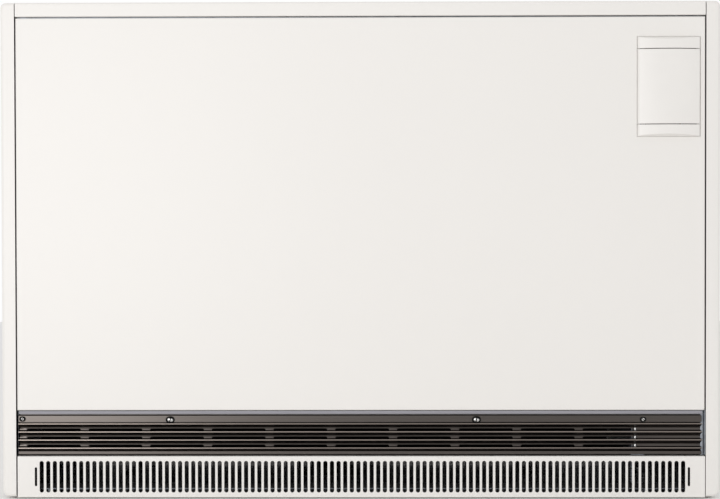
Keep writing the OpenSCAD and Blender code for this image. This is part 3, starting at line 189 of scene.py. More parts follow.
# %% [markdown]
# The grille is folded from aluminium strip with a bronze anodised skin. Anodising leaves the
# rolling lines of the strip in view, so the pattern is noise drawn out along the louvres: each
# line is 0.6 mm wide, coarser than a real one so that it shows, and about 20 cm long. The metal is
# dark, and most of what the eye sees on it is the light that it mirrors, bright at the left and
# dim at the right. A clear coat stands for the glassy oxide. The lips take a paler copy of the
# finish, a painted highlight along each lip, and the bead is aluminium without a tint.
# %% Bronze anodised aluminium
LINE_MM = 0.6
ROLLED = (0.003, 1, 1)
METAL = {"Metallic": 1.0}


def oxide(weight, rough):
    """What the shader needs for metal under a clear oxide."""
    return {**METAL, "Coat Weight": weight, "Coat IOR": 1.6, "Coat Roughness": rough}


bronze = surface("bronze anodised aluminium", "#4C4642", "#443E3A", LINE_MM, LINE_MM, 0.015, 0.3,
                 stretch=ROLLED, **oxide(0.42, 0.3))
bead_metal = surface("clear anodised aluminium", "#A8A7AC", "#9D9CA2", LINE_MM, LINE_MM, 0.01, 0.7,
                     stretch=ROLLED, **METAL)
lip_highlight_bronze = surface("bronze anodised aluminium, painted highlight on the lips", "#877D76", "#7D736C",
                      LINE_MM, LINE_MM, 0.015, 0.27, stretch=ROLLED, **oxide(0.45, 0.27))
print("grille:", bronze.name, "and", bead_metal.name)

# %% [markdown]
# Hidden sheet is hot-dip galvanised. Zinc freezes in flat crystals, the spangle, each of which
# mirrors light in its own direction. Voronoi cells of 9 mm stand for the crystals: each cell takes
# one random value, which sets its tone and its gloss. A fine frost lies over all of them.
# %% Galvanised sheet
SPANGLE, FROST, FROST_DEPTH = 9.0, 1.5, 0.01
ZINC_SMOOTH, ZINC_ROUGH = 0.32, 0.48


def galvanised(name, light, dark):
    """Zinc with a spangle, one tone and one gloss for each crystal."""
    finish, tree, place = start_finish(name)
    crystals = add_node(tree, "ShaderNodeTexVoronoi", {"Vector": place, "Scale": 1000 / SPANGLE})
    value = add_node(tree, "ShaderNodeSeparateColor",
                     {"Color": crystals.outputs["Color"]}).outputs["Red"]
    tone = add_node(tree, "ShaderNodeMix",
                    {0: value, MIX_A: linear(dark), MIX_B: linear(light)},
                    data_type="RGBA").outputs[MIX_OUT]
    gloss = add_node(tree, "ShaderNodeMapRange",
                     {"Value": value, "To Min": ZINC_SMOOTH, "To Max": ZINC_ROUGH})
    frost = add_node(tree, "ShaderNodeTexNoise", {"Vector": place, "Scale": 1000 / FROST})
    bump = add_node(tree, "ShaderNodeBump",
                    {"Distance": FROST_DEPTH / 1000, "Height": frost.outputs["Fac"]})
    skin = add_node(tree, "ShaderNodeBsdfPrincipled",
                    {"Base Color": tone, "Metallic": 1.0, "Roughness": gloss.outputs["Result"],
                     "Normal": bump.outputs["Normal"]})
    add_node(tree, "ShaderNodeOutputMaterial", {"Surface": skin.outputs["BSDF"]})
    return finish


zinc = galvanised("hot-dip galvanised steel", "#A4A9B0", "#8B9098")
print("sheet:", zinc.name)

# %% [markdown]
# Sheet in the air duct and the blower motor take a plain black, which is painted shade: the duct
# lies in deep shade behind the grille. The first recipe serves again, almost black and very rough,
# with hardly a mirror left in it, so that the duct stays dark behind the slots of the grille. The
# same black is the painted shade in the screw slots, in the cups round the heads and on the left
# angle.
# %% Black for painted shade
shade_black = surface("matt black, painted shade", "#0E0D0D", "#090909", 30, 1.0, 0.01, 0.85,
                     **{"Specular IOR Level": 0.15})
print("air duct:", shade_black.name)

# %% [markdown]
# Small metal parts each have their own metal: nickel-plated screws, plain turned steel, element
# tubes tinted brown by heat, rolled bimetal and sintered bronze. They differ in colour and in how
# fine their marks are, so one recipe serves them all, with a grain of a quarter to half a
# millimetre. Real marks are finer still, but these are as coarse as they need to be to show.
# %% Small metal parts
nickel = surface("nickel-plated steel", "#D2D1CF", "#C6C5C3", 3, 0.4, 0.002, 0.24, **METAL)
steel = surface("turned steel", "#A3A5A8", "#8F9194", 6, 0.3, 0.004, 0.32, **METAL)
tube = surface("heat-tinted steel tube", "#7C7062", "#5C5450", 14, 0.4, 0.005, 0.38, **METAL)
bimetal = surface("rolled bimetal strip", "#B98B5E", "#A67A50", 5, 0.3, 0.003, 0.3, **METAL)
bush_bronze = surface("sintered bronze", "#A8794A", "#8C6238", 2, 0.25, 0.02, 0.5, **METAL)
print("metals:", [m.name for m in (nickel, steel, tube, bimetal, bush_bronze)])

# %% [markdown]
# The core is brick pressed from iron ore, dark and gritty, inside boards of pale mineral fibre.
# The terminal block is unglazed porcelain, the smoothest of the three. The grit of a brick is
# about 2 mm, and the fibres of the board make dimples 1 mm across, so the same recipe makes all of
# them with another grain.
# %% Brick, fibre board and porcelain
brick = surface("pressed ore brick", "#55382B", "#3E2A22", 12, 2.0, 0.25, 0.88)
board = surface("mineral fibre board", "#DCD4C0", "#CDC4AE", 18, 1.0, 0.2, 0.93)
porcelain = surface("unglazed porcelain", "#EDE9E0", "#E4DFD4", 10, 0.8, 0.02, 0.45)
print("core:", [m.name for m in (brick, board, porcelain)])

# %% [markdown]
# Moulded plastics copy the tool that made them: a spark-eroded tool gives the flap its fine satin
# grain, a polished one would give a shine. The grain is drawn at half a millimetre, coarser than
# it is, so that it shows. ABS has an index of refraction of about 1.53. The lamp's lens is clear
# tinted acrylic, which lets light through.
# %% Moulded plastics and rubber
ABS = {"IOR": 1.53}
abs_white = surface("ABS, satin warm white", CASE_HEX, "#EFECE8", 60, 0.5, 0.006, 0.4, **ABS)
abs_shade = surface("ABS, satin pale grey", "#DDDBD7", "#D7D5D1", 40, 0.5, 0.008, 0.46, **ABS)
black_plastic = surface("black polyamide", "#1B1B1D", "#141416", 12, 0.5, 0.012, 0.48, **ABS)
net_plastic = surface("black filter net", "#0B0B0C", "#080809", 8, 0.6, 0.02, 0.8,
                      **ABS, **{"Specular IOR Level": 0.15})
red_plastic = surface("red button", "#B3201A", "#A31A15", 6, 0.4, 0.004, 0.3, **ABS)
sleeve = surface("red-brown silicone sleeve", "#7E3A28", "#6C2F20", 8, 0.6, 0.02, 0.6,
                 **{"IOR": 1.41})
rubber = surface("black rubber", "#1D1D1E", "#151516", 8, 0.7, 0.03, 0.7, **{"IOR": 1.52})
lens = surface("tinted acrylic lens", "#F08A24", "#E87A18", 4, 0.6, 0.002, 0.12,
               **{"IOR": 1.49, "Transmission Weight": 0.6})
print("plastics:", [m.name for m in (abs_white, abs_shade, black_plastic, red_plastic, lens)])

# %% [markdown]
# Each CAD node names the material slot of its finish. The nodes that stay in view as they are,
# which is most of the inside, only take the right material. Those in the air duct take the black
# instead, as painted shade for the dark inside of the duct. Nodes that are replaced further on
# take a finish too, so that the frame is dressed completely.
# %% Finishes for the CAD nodes
finishes = {
    "case_white": powder_coat, "case_white_rear": rear_coat, "grille_bronze": bronze,
    "zinc": zinc, "steel": steel, "element_tube": tube, "insulation": board, "brick": brick,
    "porcelain": porcelain, "abs_white": abs_white, "abs_shade": abs_shade,
    "black_plastic": black_plastic, "net_plastic": net_plastic, "red_plastic": red_plastic,
    "lamp_orange": lens, "bimetal": bimetal, "bronze_bush": bush_bronze, "wire": sleeve,
    "rubber": rubber,
}
shaded_duct_nodes = ("air_deflector", "air_divider", "mixing_damper", "core_tray",
                   "lower_front_rail", "blower_housings", "blower_motor")
for part in frame["record"]["subparts"]:
    node = frame["nodes"][part["node"]]
    node.data.materials.clear()
    # Nodes in the air duct take the black: painted shade for the dark inside of the duct.
    painted_shade = part["node"] in shaded_duct_nodes
    node.data.materials.append(shade_black if painted_shade else finishes[part["material_slot"]])

# %% [markdown]
# Modelling is done in millimetres, which suits sheet metal. A few helpers are used again and
# again: the corners of a CAD node, a block between two corners, the edges or faces on a plane, and
# a rounding.
# %% Helpers for modelling
NEAR = 0.01


def corners(node):
    """The lowest and the highest corner of a CAD node, in millimetres."""
    low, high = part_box(node)
    return low * 1000, high * 1000


def block(shape, low, high):
    """A block between two opposite corners. Gives its vertices."""
    verts = bmesh.ops.create_cube(shape, size=1)["verts"]
    bmesh.ops.scale(shape, vec=Vector(high) - Vector(low), verts=verts)
    bmesh.ops.translate(shape, vec=(Vector(low) + Vector(high)) / 2, verts=verts)
    return verts


def each_once(parts):
    """A list without repeats. A set would come out in another order on each run."""
    return list(dict.fromkeys(parts))


def on_planes(parts, x=None, y=None, z=None):
    """The edges or faces that lie on all the given planes."""
    planes = [(axis, at) for axis, at in enumerate((x, y, z)) if at is not None]
    return [p for p in parts
            if all(abs(v.co[axis] - at) < NEAR for v in p.verts for axis, at in planes)]


def round_off(shape, edges, radius, steps=4):
    """Rounds edges with a bevel of several segments."""
    bmesh.ops.bevel(shape, geom=edges, affect="EDGES", offset_type="OFFSET", offset=radius,
                    segments=steps, profile=0.5, material=-1, clamp_overlap=False)


def largest(faces):
    return max(faces, key=lambda face: face.calc_area())


print("the CAD box measures", [round((b - a) * 1000, 1) for a, b in zip(*cad_box)], "mm")

# %% [markdown]
# Every shape ends in the same way, so one function turns it into a piece: it is welded, scaled to
# metres and given its finish. Sheet gets its thickness from a Solidify modifier, so a shape can
# stay a plain surface until then. A small Bevel modifier softens every sheared edge, because a
# perfectly sharp edge never catches the light. The piece then rides on its body, so that it moves
# with it.
# %% From a shape to a piece
WELD = 0.002
SHARP_ANGLE = 50


def piece(name, shape, body, finish, stands_for=(), sheet=0.0, edge=0.25, outward=None,
          inlay=None):
    """Turns a shape in millimetres into a piece in metres that rides on a body."""
    bmesh.ops.remove_doubles(shape, verts=shape.verts, dist=WELD)
    bmesh.ops.recalc_face_normals(shape, faces=shape.faces)
    if outward and largest(shape.faces).normal.dot(Vector(outward)) < 0:
        bmesh.ops.reverse_faces(shape, faces=shape.faces)
    bmesh.ops.scale(shape, vec=(0.001, 0.001, 0.001), verts=shape.verts)
    for face in shape.faces:
        face.smooth = True
    mesh = bpy.data.meshes.new(name)
    shape.to_mesh(mesh)
    shape.free()
    mesh.materials.append(finish)
    if inlay:
        mesh.materials.append(inlay)
    made = bpy.data.objects.new(name, mesh)
    scene.collection.objects.link(made)
    if sheet:
        wall = made.modifiers.new("sheet", "SOLIDIFY")
        wall.thickness = sheet / 1000
        wall.offset = -1
        wall.use_even_offset = True
    if edge:
        soft = made.modifiers.new("sheared edges", "BEVEL")
        soft.width = edge / 1000
        soft.segments = 2
        soft.limit_method = "ANGLE"
        soft.angle_limit = math.radians(SHARP_ANGLE)
        soft.use_clamp_overlap = False
    shading = made.modifiers.new("flat faces stay flat", "WEIGHTED_NORMAL")
    shading.keep_sharp = True
    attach(made, body)
    if stands_for:
        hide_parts(*stands_for)
    print(name, len(mesh.polygons), "faces on", body)
    return made


print("edges sharper than", SHARP_ANGLE, "degrees are softened")

# %% [markdown]
# The side covers are shallow trays whose open side faces the case. Their outline is rounded in
# front view, more at the bottom than at the top, and their front and rear edges are rounded too.
# Each starts as a block without its inner face, so that one bevel after the other makes the radii.
# %% Side covers
SHEET = 1.2
COVER_TOP_R, COVER_BOTTOM_R, COVER_EDGE_R = 7.0, 10.0, 4.6


def side_cover(side, node):
    """The cover of one side: side is -1 for the left and 1 for the right."""
    low, high = corners(node)
    outer, inner = (high.x, low.x) if side > 0 else (low.x, high.x)
    shape = bmesh.new()
    block(shape, low, high)
    bmesh.ops.delete(shape, geom=on_planes(shape.faces, x=inner), context="FACES")
    round_off(shape, on_planes(shape.edges, x=outer, z=high.z), COVER_TOP_R, 8)
    round_off(shape, on_planes(shape.edges, x=outer, z=low.z), COVER_BOTTOM_R, 8)
    for y in (low.y, high.y):
        rim = [e for e in on_planes(shape.edges, y=y) if not e.is_boundary]
        round_off(shape, rim, COVER_EDGE_R, 7)
    piece(node + "_shell", shape, "case", powder_coat, (node,), sheet=SHEET,
          outward=(side, 0, 0))


side_cover(-1, "side_cover_left")
side_cover(1, "side_cover_right")

# %% [markdown]
# A folded sheet is drawn as a line in side view, its bends are rounded by a bevel of the line's
# corners, and the line is then drawn out along the case. It could also be cut from blocks, but a
# line keeps each fold's true radius and needs no cleaning up.
# %% Folded sheet
def vertices(parts):
    """The vertices among the parts that an operator gives back."""
    return [part for part in parts if isinstance(part, bmesh.types.BMVert)]


def chain(shape, points, closed=False):
    """Vertices joined by edges. A closed chain also joins its last vertex to its first."""
    verts = [shape.verts.new(co) for co in points]
    first = 0 if closed else 1
    return verts, [shape.edges.new((verts[i - 1], verts[i])) for i in range(first, len(verts))]


def rotate(shape, verts, degrees, axis):
    """Turns vertices about an axis through the origin."""
    bmesh.ops.rotate(shape, verts=verts, cent=(0, 0, 0),
                     matrix=Matrix.Rotation(math.radians(degrees), 3, axis))


def round_bend(shape, vert, size, steps):
    """Rounds one corner of a line."""
    bmesh.ops.bevel(shape, geom=[vert], affect="VERTICES", offset_type="OFFSET", offset=size,
                    segments=steps, profile=0.5, material=-1)


def draw_out(shape, edges, way):
    """Draws edges out into faces along a vector."""
    drawn = bmesh.ops.extrude_edge_only(shape, edges=edges)["geom"]
    bmesh.ops.translate(shape, vec=way, verts=vertices(drawn))


def folded_sheet(points, bends, x0, x1, steps=5):
    """A sheet along X. points are (y, z), and bends gives the size of a rounding by its number."""
    shape = bmesh.new()
    verts, _ = chain(shape, [(x0, y, z) for y, z in points])
    for number, size in bends.items():
        round_bend(shape, verts[number], size, steps)
    draw_out(shape, shape.edges[:], (x1 - x0, 0, 0))
    shape.normal_update()
    return shape


print("the case is folded from sheet of", SHEET, "mm")

# %% [markdown]
# Holes are cut in the flat strips after folding: the strip goes, and the space between its edges
# and the edges of the holes is filled again in one step. A Boolean would cut them too, but it is
# slow with a hundred slots, and the fill leaves a flat face with clean edges.
# %% Pierced sheet
HOLE_STEPS = 16


def round_hole(shape, x, z, width, height, steps=HOLE_STEPS):
    """The edges of a hole with round ends, in the plane y = 0."""
    small = min(width, height)
    verts = bmesh.ops.create_circle(shape, segments=steps, radius=small / 2)["verts"]
    rotate(shape, verts, 180 / steps, "Z")
    rotate(shape, verts, 90, "X")
    for v in verts:
        v.co.x += math.copysign((width - small) / 2, v.co.x) + x
        v.co.z += math.copysign((height - small) / 2, v.co.z) + z
    return each_once(e for v in verts for e in v.link_edges)


def rectangle(shape, x0, z0, x1, z1):
    """The four edges of an upright rectangle, in the plane y = 0."""
    return chain(shape, [(x, 0, z) for x, z in ((x0, z0), (x1, z0), (x1, z1), (x0, z1))], True)[1]


def pierce(shape, face, holes):
    """Cuts holes in a flat face. Each hole is pressed straight back until it lies on the face."""
    normal, spot = face.normal.copy(), face.verts[0].co.copy()
    for v in each_once(v for edge in holes for v in edge.verts):
        aside = (v.co.x - spot.x) * normal.x + (v.co.z - spot.z) * normal.z
        v.co.y = spot.y - aside / normal.y
    rim = list(face.edges)
    bmesh.ops.delete(shape, geom=[face], context="FACES_ONLY")
    bmesh.ops.triangle_fill(shape, use_beauty=True, use_dissolve=False, edges=rim + holes,
                            normal=normal)


def strip_near(shape, y, z):
    """The face whose middle lies nearest to a point in side view."""
    return min(shape.faces, key=lambda f: (f.calc_center_median().yz - Vector((y, z))).length)


print("a round hole has", HOLE_STEPS, "corners")

# %% [markdown]
# The lid is one sheet: flat on top, rolled over the front edge with a radius of 3 mm, and folded
# back under its lip. It ends just inside the side covers. As a folded line it needs only four
# points and two radii.
# %% Lid
LID_R, LID_LIP_R, LID_FLANGE = 3.0, 1.6, 11.7
low, high = corners("top_cover")
front_y = low.y
lid_line = [(high.y, high.z), (low.y, high.z), (low.y, low.z), (low.y + LID_FLANGE, low.z)]
lid = folded_sheet(lid_line, {1: LID_R, 2: LID_LIP_R}, low.x, high.x, steps=7)
piece("lid", lid, "case", powder_coat, ("top_cover",), sheet=SHEET,
      outward=(0, 0, 1))

# %% [markdown]
# The front panel is a tray again, folded back on all four sides, with an opening for the control
# module, which is set close to the right edge. The opening leaves a hair gap above and below, room
# for the turning edge of the flap at the left, and a gap that reads as a dark line at the right.
# %% Front panel
FOLD_R = 1.9
SEAM = 0.55
MODULE_FLANGE = 3.0
MODULE_GAP, HINGE_GAP, SHADE_GAP = 0.12, 0.34, 1.3
low, high = corners("module_housing")
module_low = Vector((low.x + MODULE_FLANGE, 0, low.z + MODULE_FLANGE))
module_high = Vector((high.x - MODULE_FLANGE, 0, high.z - MODULE_FLANGE))


def front_panel():
    low, high = corners("front_panel")
    shape = bmesh.new()
    block(shape, low + Vector((SEAM, 0, 0)), high - Vector((SEAM, 0, 0)))
    bmesh.ops.delete(shape, geom=on_planes(shape.faces, y=high.y), context="FACES")
    round_off(shape, on_planes(shape.edges, y=low.y), FOLD_R, 6)
    shape.normal_update()
    opening = rectangle(shape, module_low.x - HINGE_GAP, module_low.z - MODULE_GAP,
                        module_high.x + SHADE_GAP, module_high.z + MODULE_GAP)
    pierce(shape, largest(on_planes(shape.faces, y=low.y)), opening)
    piece("front_plate", shape, "case", powder_coat, ("front_panel",), sheet=SHEET,
          outward=(0, -1, 0))


front_panel()

# %% [markdown]
# The intake panel has 98 upright slots with round ends, 5.7 mm wide at a pitch of 8.8 mm, and a
# thinner slot beyond them at each end, where a finger or a screwdriver releases it. A tongue at
# each end guides it when it is pulled out to clean the net behind it.
# %% Intake panel
SLOT_PITCH, SLOT_W, SLOT_H, SLOTS = 8.805, 5.7, 42.2, 98
SLOT_SHIFT, SLOT_RISE = 1.95, 0.2
RELEASE_W, RELEASE_H, RELEASE_GAP = 3.3, 25.4, 7.7
INTAKE_SEAM = 1.3 * SEAM
TOP_FLANGE, LOW_FLANGE, LOW_FOLD_R = 12.0, 15.0, 1.4
TONGUE_T, TONGUE_SET, TONGUE_Z, TONGUE_DROP = 1.5, 1.3, 13.3, 6.0
FINE_EDGE = 0.12


def intake_panel():
    low, high = corners("intake_panel")
    line = [(front_y + TOP_FLANGE, high.z), (front_y, high.z), (front_y, low.z),
            (front_y + LOW_FLANGE, low.z)]
    shape = folded_sheet(line, {1: FOLD_R, 2: LOW_FOLD_R}, low.x + INTAKE_SEAM, high.x)
    face = strip_near(shape, front_y, (low.z + high.z) / 2)
    slot_z = (low.z + high.z) / 2 + SLOT_RISE
    half = (SLOTS - 1) / 2 * SLOT_PITCH
    holes = []
    for i in range(SLOTS):
        holes += round_hole(shape, SLOT_SHIFT + i * SLOT_PITCH - half, slot_z, SLOT_W, SLOT_H)
    for x in (-half - RELEASE_GAP, half + RELEASE_GAP):
        holes += round_hole(shape, SLOT_SHIFT + x, slot_z, RELEASE_W, RELEASE_H, steps=12)
    pierce(shape, face, holes)
    piece("intake_plate", shape, "intake", powder_coat, ("intake_panel",),
          sheet=SHEET, edge=FINE_EDGE, outward=(0, -1, 0))
    tongues = bmesh.new()
    for side in (-1, 1):
        x = side * (corners("grille_end_brackets")[1].x - TONGUE_T / 2)
        block(tongues, (x - TONGUE_T / 2, front_y + TONGUE_SET, TONGUE_Z),
              (x + TONGUE_T / 2, high.y, high.z - TONGUE_DROP))
    piece("intake_tongues", tongues, "intake", powder_coat, ("intake_panel",))


intake_panel()

# %% [markdown]
# The grille is one strip folded like a saw: a flat band on top, then four lips. Under each lip the
# sheet runs back, drops, and comes forward again to the next, so the lips catch the light and hide
# the slots behind them. The line is drawn from the top down, as depth behind the front and height.
# Every bend is sharp, as thin strip allows, so each takes the same small rounding.
# %% Fold line of the outlet grille
LIPS, LIP_PITCH, BAND_H = 4, 10.8, 17.6
GRILLE_SHEET, GRILLE_BEND = 0.8, 0.3
GRILLE_D = 12
WEB_TOP = 6.2
low, high = corners("outlet_grille")
grille_top, grille_low, grille_x = high.z, low.z, high.x
lips = [grille_top - BAND_H - i * LIP_PITCH for i in range(LIPS)]


def lip_line(z):
    """The two bends that make a lip, whose face leans a little to the front at its lower edge."""
    return [(1.0, z + 0.55), (0.8, z - 0.55)]


def grille_line():
    """The fold line as (y, z), and the rounding of each bend."""
    line = [(GRILLE_D, grille_top - 4.6), (7.4, grille_top - 4.8), (7.4, grille_top - 6.3),
            (2.1, grille_top - 6.7), (1.5, grille_top - 15.4), (7.0, grille_top - 15.6),
            (7.0, grille_top - 16.6)] + lip_line(lips[0])
    for above, z in zip(lips, lips[1:]):
        line += [(6.6, above - 5.4), (6.2, above - WEB_TOP)] + lip_line(z)
    bends = dict.fromkeys(range(1, len(line)), GRILLE_BEND)
    bends.update({len(line): 0.4, len(line) + 1: 0.5, len(line) + 2: 0.6})
    line += [(5.2, lips[-1] - 2.8), (1.7, grille_low + 5.9), (1.5, grille_low + 1.8),
             (GRILLE_D, grille_low + 0.8)]
    return [(front_y + depth, z) for depth, z in line], bends


print("lips at heights of", [round(z, 1) for z in lips], "mm")

# %% [markdown]
# The slots are pierced while the web behind a lip is still flat. A cut across it then gives it the
# vertices that it needs to be bent. The web could also be folded first and cut with a Boolean, but
# that leaves long thin faces along each fold. Beyond the partition there is no air duct, so the
# slots end there, beside a small hole for a rivet.
# %% Air slots of the grille
AIR_PITCH, AIR_L, AIR_H, AIR_CORNER = 82.4, 72.0, 2.9, 1.4
AIR_START, AIR_RISE, AIR_PAST = 12.5, 1.2, 0.5
RIVET_HOLE_W, RIVET_HOLE_H, RIVET_HOLE_X, RIVET_RISE = 5.6, 3.0, 0.8, 2.7
WEB_D, WEB_RISE = 3.5, 3.1
KINK_D, KINK_DROP = 5.9, 8.5
PARTITION_FLANGE = 17.0
JOIN = 0.001
panel_x = corners("front_panel")[1].x
partition_x = corners("partition_wall")[1].x - PARTITION_FLANGE
rivet_low, rivet_high = corners("grille_rivets")
rivet_x = (rivet_low.x + rivet_high.x) / 2


def air_slot(shape, x0, x1, z):
    """The edges of an air slot. Its upper corners are cut off, so the bridge between two slots
    is wider at the top."""
    top, shoulder = z + AIR_H, z + AIR_H - AIR_CORNER
    outline = ((x0, z), (x1, z), (x1, shoulder), (x1 - AIR_CORNER, top), (x0 + AIR_CORNER, top),
               (x0, shoulder))
    return chain(shape, [(x, 0, height) for x, height in outline], True)[1]


def bend_web(shape, kink_z, ends):
    """Bends a pierced web along a line at a height. ends are its (z, y) at the top and bottom."""
    top, bottom = ends
    inside = [v for v in shape.verts if bottom[0] - NEAR < v.co.z < top[0] + NEAR]
    web = each_once(f for v in inside for f in v.link_faces
                    if bottom[0] - NEAR < f.calc_center_median().z < top[0] + NEAR)
    edges = each_once(e for f in web for e in f.edges)
    cut = bmesh.ops.bisect_plane(shape, geom=web + edges + inside,
                                 plane_co=(0, 0, kink_z), plane_no=(0, 0, 1), dist=JOIN)
    kink = (kink_z, front_y + KINK_D)
    for v in each_once(inside + vertices(cut["geom_cut"])):
        start, end = (top, kink) if v.co.z > kink_z else (kink, bottom)
        share = (v.co.z - start[0]) / (end[0] - start[0])
        v.co.y = start[1] + share * (end[1] - start[1])


def pierce_webs(shape):
    """Cuts the air slots and the rivet hole in each web, then bends it."""
    for above, z in zip(lips, lips[1:]):
        holes = round_hole(shape, rivet_x + RIVET_HOLE_X, z + RIVET_RISE, RIVET_HOLE_W,
                           RIVET_HOLE_H)
        x0 = AIR_START - panel_x
        while x0 + AIR_L / 2 < partition_x:
            holes += air_slot(shape, x0, min(x0 + AIR_L, partition_x + AIR_PAST), z + AIR_RISE)
            x0 += AIR_PITCH
        web = strip_near(shape, front_y + WEB_D, z + WEB_RISE)
        ends = sorted(((v.co.z, v.co.y) for v in web.verts), reverse=True)
        pierce(shape, web, holes)
        bend_web(shape, above - KINK_DROP, (ends[0], ends[-1]))


print("air slots run up to", round(partition_x + AIR_PAST, 1), "mm")

# %% [markdown]
# The strip's ends are slanted, so that the lips reach a little further than the folds behind them.
# The faces of the lips take the paler finish, a painted highlight along each lip. A rounded bead
# of plain aluminium closes the grille at the top.
# %% Outlet grille
SLANT, SLANT_FROM = 0.3, 0.8
STRIP_PAST_LEFT, STRIP_SHORT_RIGHT, BEAD_SHORT_LEFT = 1.4, 0.8, 0.8
LIP_HIGHLIGHT_D, LIP_HIGHLIGHT_H = 1.4, 1.0
strip_x0, strip_x1 = -grille_x - STRIP_PAST_LEFT, grille_x - STRIP_SHORT_RIGHT


def grille():
    line, bends = grille_line()
    shape = folded_sheet(line, bends, strip_x0, strip_x1, steps=4)
    for v in shape.verts:
        v.co.x -= math.copysign(SLANT * max(0, v.co.y - front_y - SLANT_FROM), v.co.x)
    shape.normal_update()
    pierce_webs(shape)
    # Faces on the lips take the paler finish, a painted highlight.
    for face in shape.faces:
        centre = face.calc_center_median()
        if centre.y < front_y + LIP_HIGHLIGHT_D and min(abs(centre.z - z) for z in lips) < LIP_HIGHLIGHT_H:
            face.material_index = 1
    piece("grille_strip", shape, "case", bronze, ("outlet_grille",),
          sheet=GRILLE_SHEET, edge=FINE_EDGE, outward=(0, -1, 0), inlay=lip_highlight_bronze)


def bead():
    line = [(GRILLE_D, grille_top), (0.4, grille_top), (0.4, grille_top - 4.9),
            (5.4, grille_top - 5.0)]
    shape = folded_sheet([(front_y + depth, z) for depth, z in line], {1: 1.4, 2: 1.1},
                         strip_x0 + BEAD_SHORT_LEFT, strip_x1, steps=6)
    piece("grille_bead", shape, "case", bead_metal, ("outlet_grille",),
          sheet=GRILLE_SHEET, edge=FINE_EDGE, outward=(0, -1, 0))


grille()
bead()

# %% [markdown]
# An angle closes each end of the grille and is held to the side wall. It is a line seen from
# above, bent once and drawn upwards. From the front only its narrow face shows, beside the slanted
# ends of the louvres. At the left it stands in the shade of the side cover, and its half there is
# black as painted shade. At the right, where the light comes in under the cover, it is
# zinc-plated, and the hem of the side wall shows too, beyond a dark groove.
# %% End brackets of the grille
BRACKET_SHEET, BRACKET_BEND, BRACKET_EDGE = 0.8, 0.9, 0.15
BRACKET_IN = {-1: 0.9, 1: -2.5}
BRACKET_GROOVE = {-1: 0.0, 1: 0.7}
HEM_GAP, HEM_W, HEM_D, HEM_BEND = 0.3, 2.6, 2.0, 0.4


def upright_sheet(shape, plan, low_z, high_z, bend):
    """A sheet along Z. plan is its line from above, three points with a bend at the second."""
    verts, _ = chain(shape, [(x, y, low_z) for x, y in plan])
    round_bend(shape, verts[1], bend, 4)
    draw_out(shape, [e for e in shape.edges if e.is_wire], (0, 0, high_z - low_z))


low, high = corners("grille_end_brackets")
brackets = bmesh.new()
for side in (-1, 1):
    x_in, x_out = side * (grille_x + BRACKET_IN[side]), side * (high.x - BRACKET_GROOVE[side])
    upright_sheet(brackets, [(x_in, low.y), (x_out, low.y), (x_out, high.y)], low.z, high.z,
                  BRACKET_BEND)
# The left angle takes the black: painted shade from the side cover.
for face in brackets.faces:
    face.material_index = int(face.calc_center_median().x < 0)
piece("grille_angles", brackets, "case", zinc, ("grille_end_brackets",),
      sheet=BRACKET_SHEET, edge=BRACKET_EDGE, inlay=shade_black)
hem = bmesh.new()
hem_x, hem_y = high.x + HEM_GAP, low.y + HEM_GAP
upright_sheet(hem, [(hem_x + HEM_W, hem_y), (hem_x, hem_y), (hem_x, hem_y + HEM_D)], low.z,
              high.z, HEM_BEND)
piece("wall_hem", hem, "case", zinc, ("grille_end_brackets",), sheet=BRACKET_SHEET,
      edge=BRACKET_EDGE, outward=(0, -1, 0))

# %% [markdown]
# Turned parts are a line spun round an axis, and a dome is a quarter ellipse spun the same way. A
# rod is a cone with two equal ends. Other solids are a flat face drawn out.
# %% Round and drawn solids
DOME_STEPS, COLLAR = 6, 0.4


def spin_round(shape, profile, steps, closed=False):
    """Spins a line of (radius, depth) once round the Y axis."""
    verts, edges = chain(shape, [(radius, y, 0) for radius, y in profile], closed)
    bmesh.ops.spin(shape, geom=verts + edges, cent=(0, 0, 0), axis=(0, 1, 0),
                   angle=2 * math.pi, steps=steps, use_merge=True)


def rod(shape, x, z, front, back, radius, segments=32):
    """A round rod along Y."""
    verts = bmesh.ops.create_cone(shape, cap_ends=True, segments=segments, radius1=radius,
                                  radius2=radius, depth=back - front)["verts"]
    rotate(shape, verts, 90, "X")
    bmesh.ops.translate(shape, vec=(x, (front + back) / 2, z), verts=verts)


def raise_face(shape, faces, way):
    """Draws faces out into a solid along a vector."""
    raised = bmesh.ops.extrude_face_region(shape, geom=faces)["geom"]
    bmesh.ops.translate(shape, vec=way, verts=vertices(raised))


def dome(shape, radius, height, collar=COLLAR):
    """A domed head that faces the front. Its back lies at the origin."""
    profile = [(0, 0), (radius, 0), (radius, -collar)]
    for i in range(1, DOME_STEPS + 1):
        angle = i / DOME_STEPS * math.pi / 2
        profile.append((radius * math.cos(angle), -collar - (height - collar) * math.sin(angle)))
    spin_round(shape, profile, 32)
    bmesh.ops.remove_doubles(shape, verts=shape.verts, dist=JOIN)


print("a dome has a collar of", COLLAR, "mm unless told otherwise")

# %% [markdown]
# A screw's head is a dome with a slot. Two cuts mark out the slot, whose faces are pushed in and
# made black, as painted shade in the slot. A Boolean could cut it as well, but the push keeps the
# dome's own faces beside it. Each head is stretched to an oval and sits in a black oval cup, which
# is the painted shade round the head.
# %% Slotted heads and their cups
DOME_H, SLOT_SILL, SLOT_DEPTH = 1.3, -0.3, 0.8
HEAD_SET, CUP_SET, CUP_RISE = 1.0, 1.5, 0.5


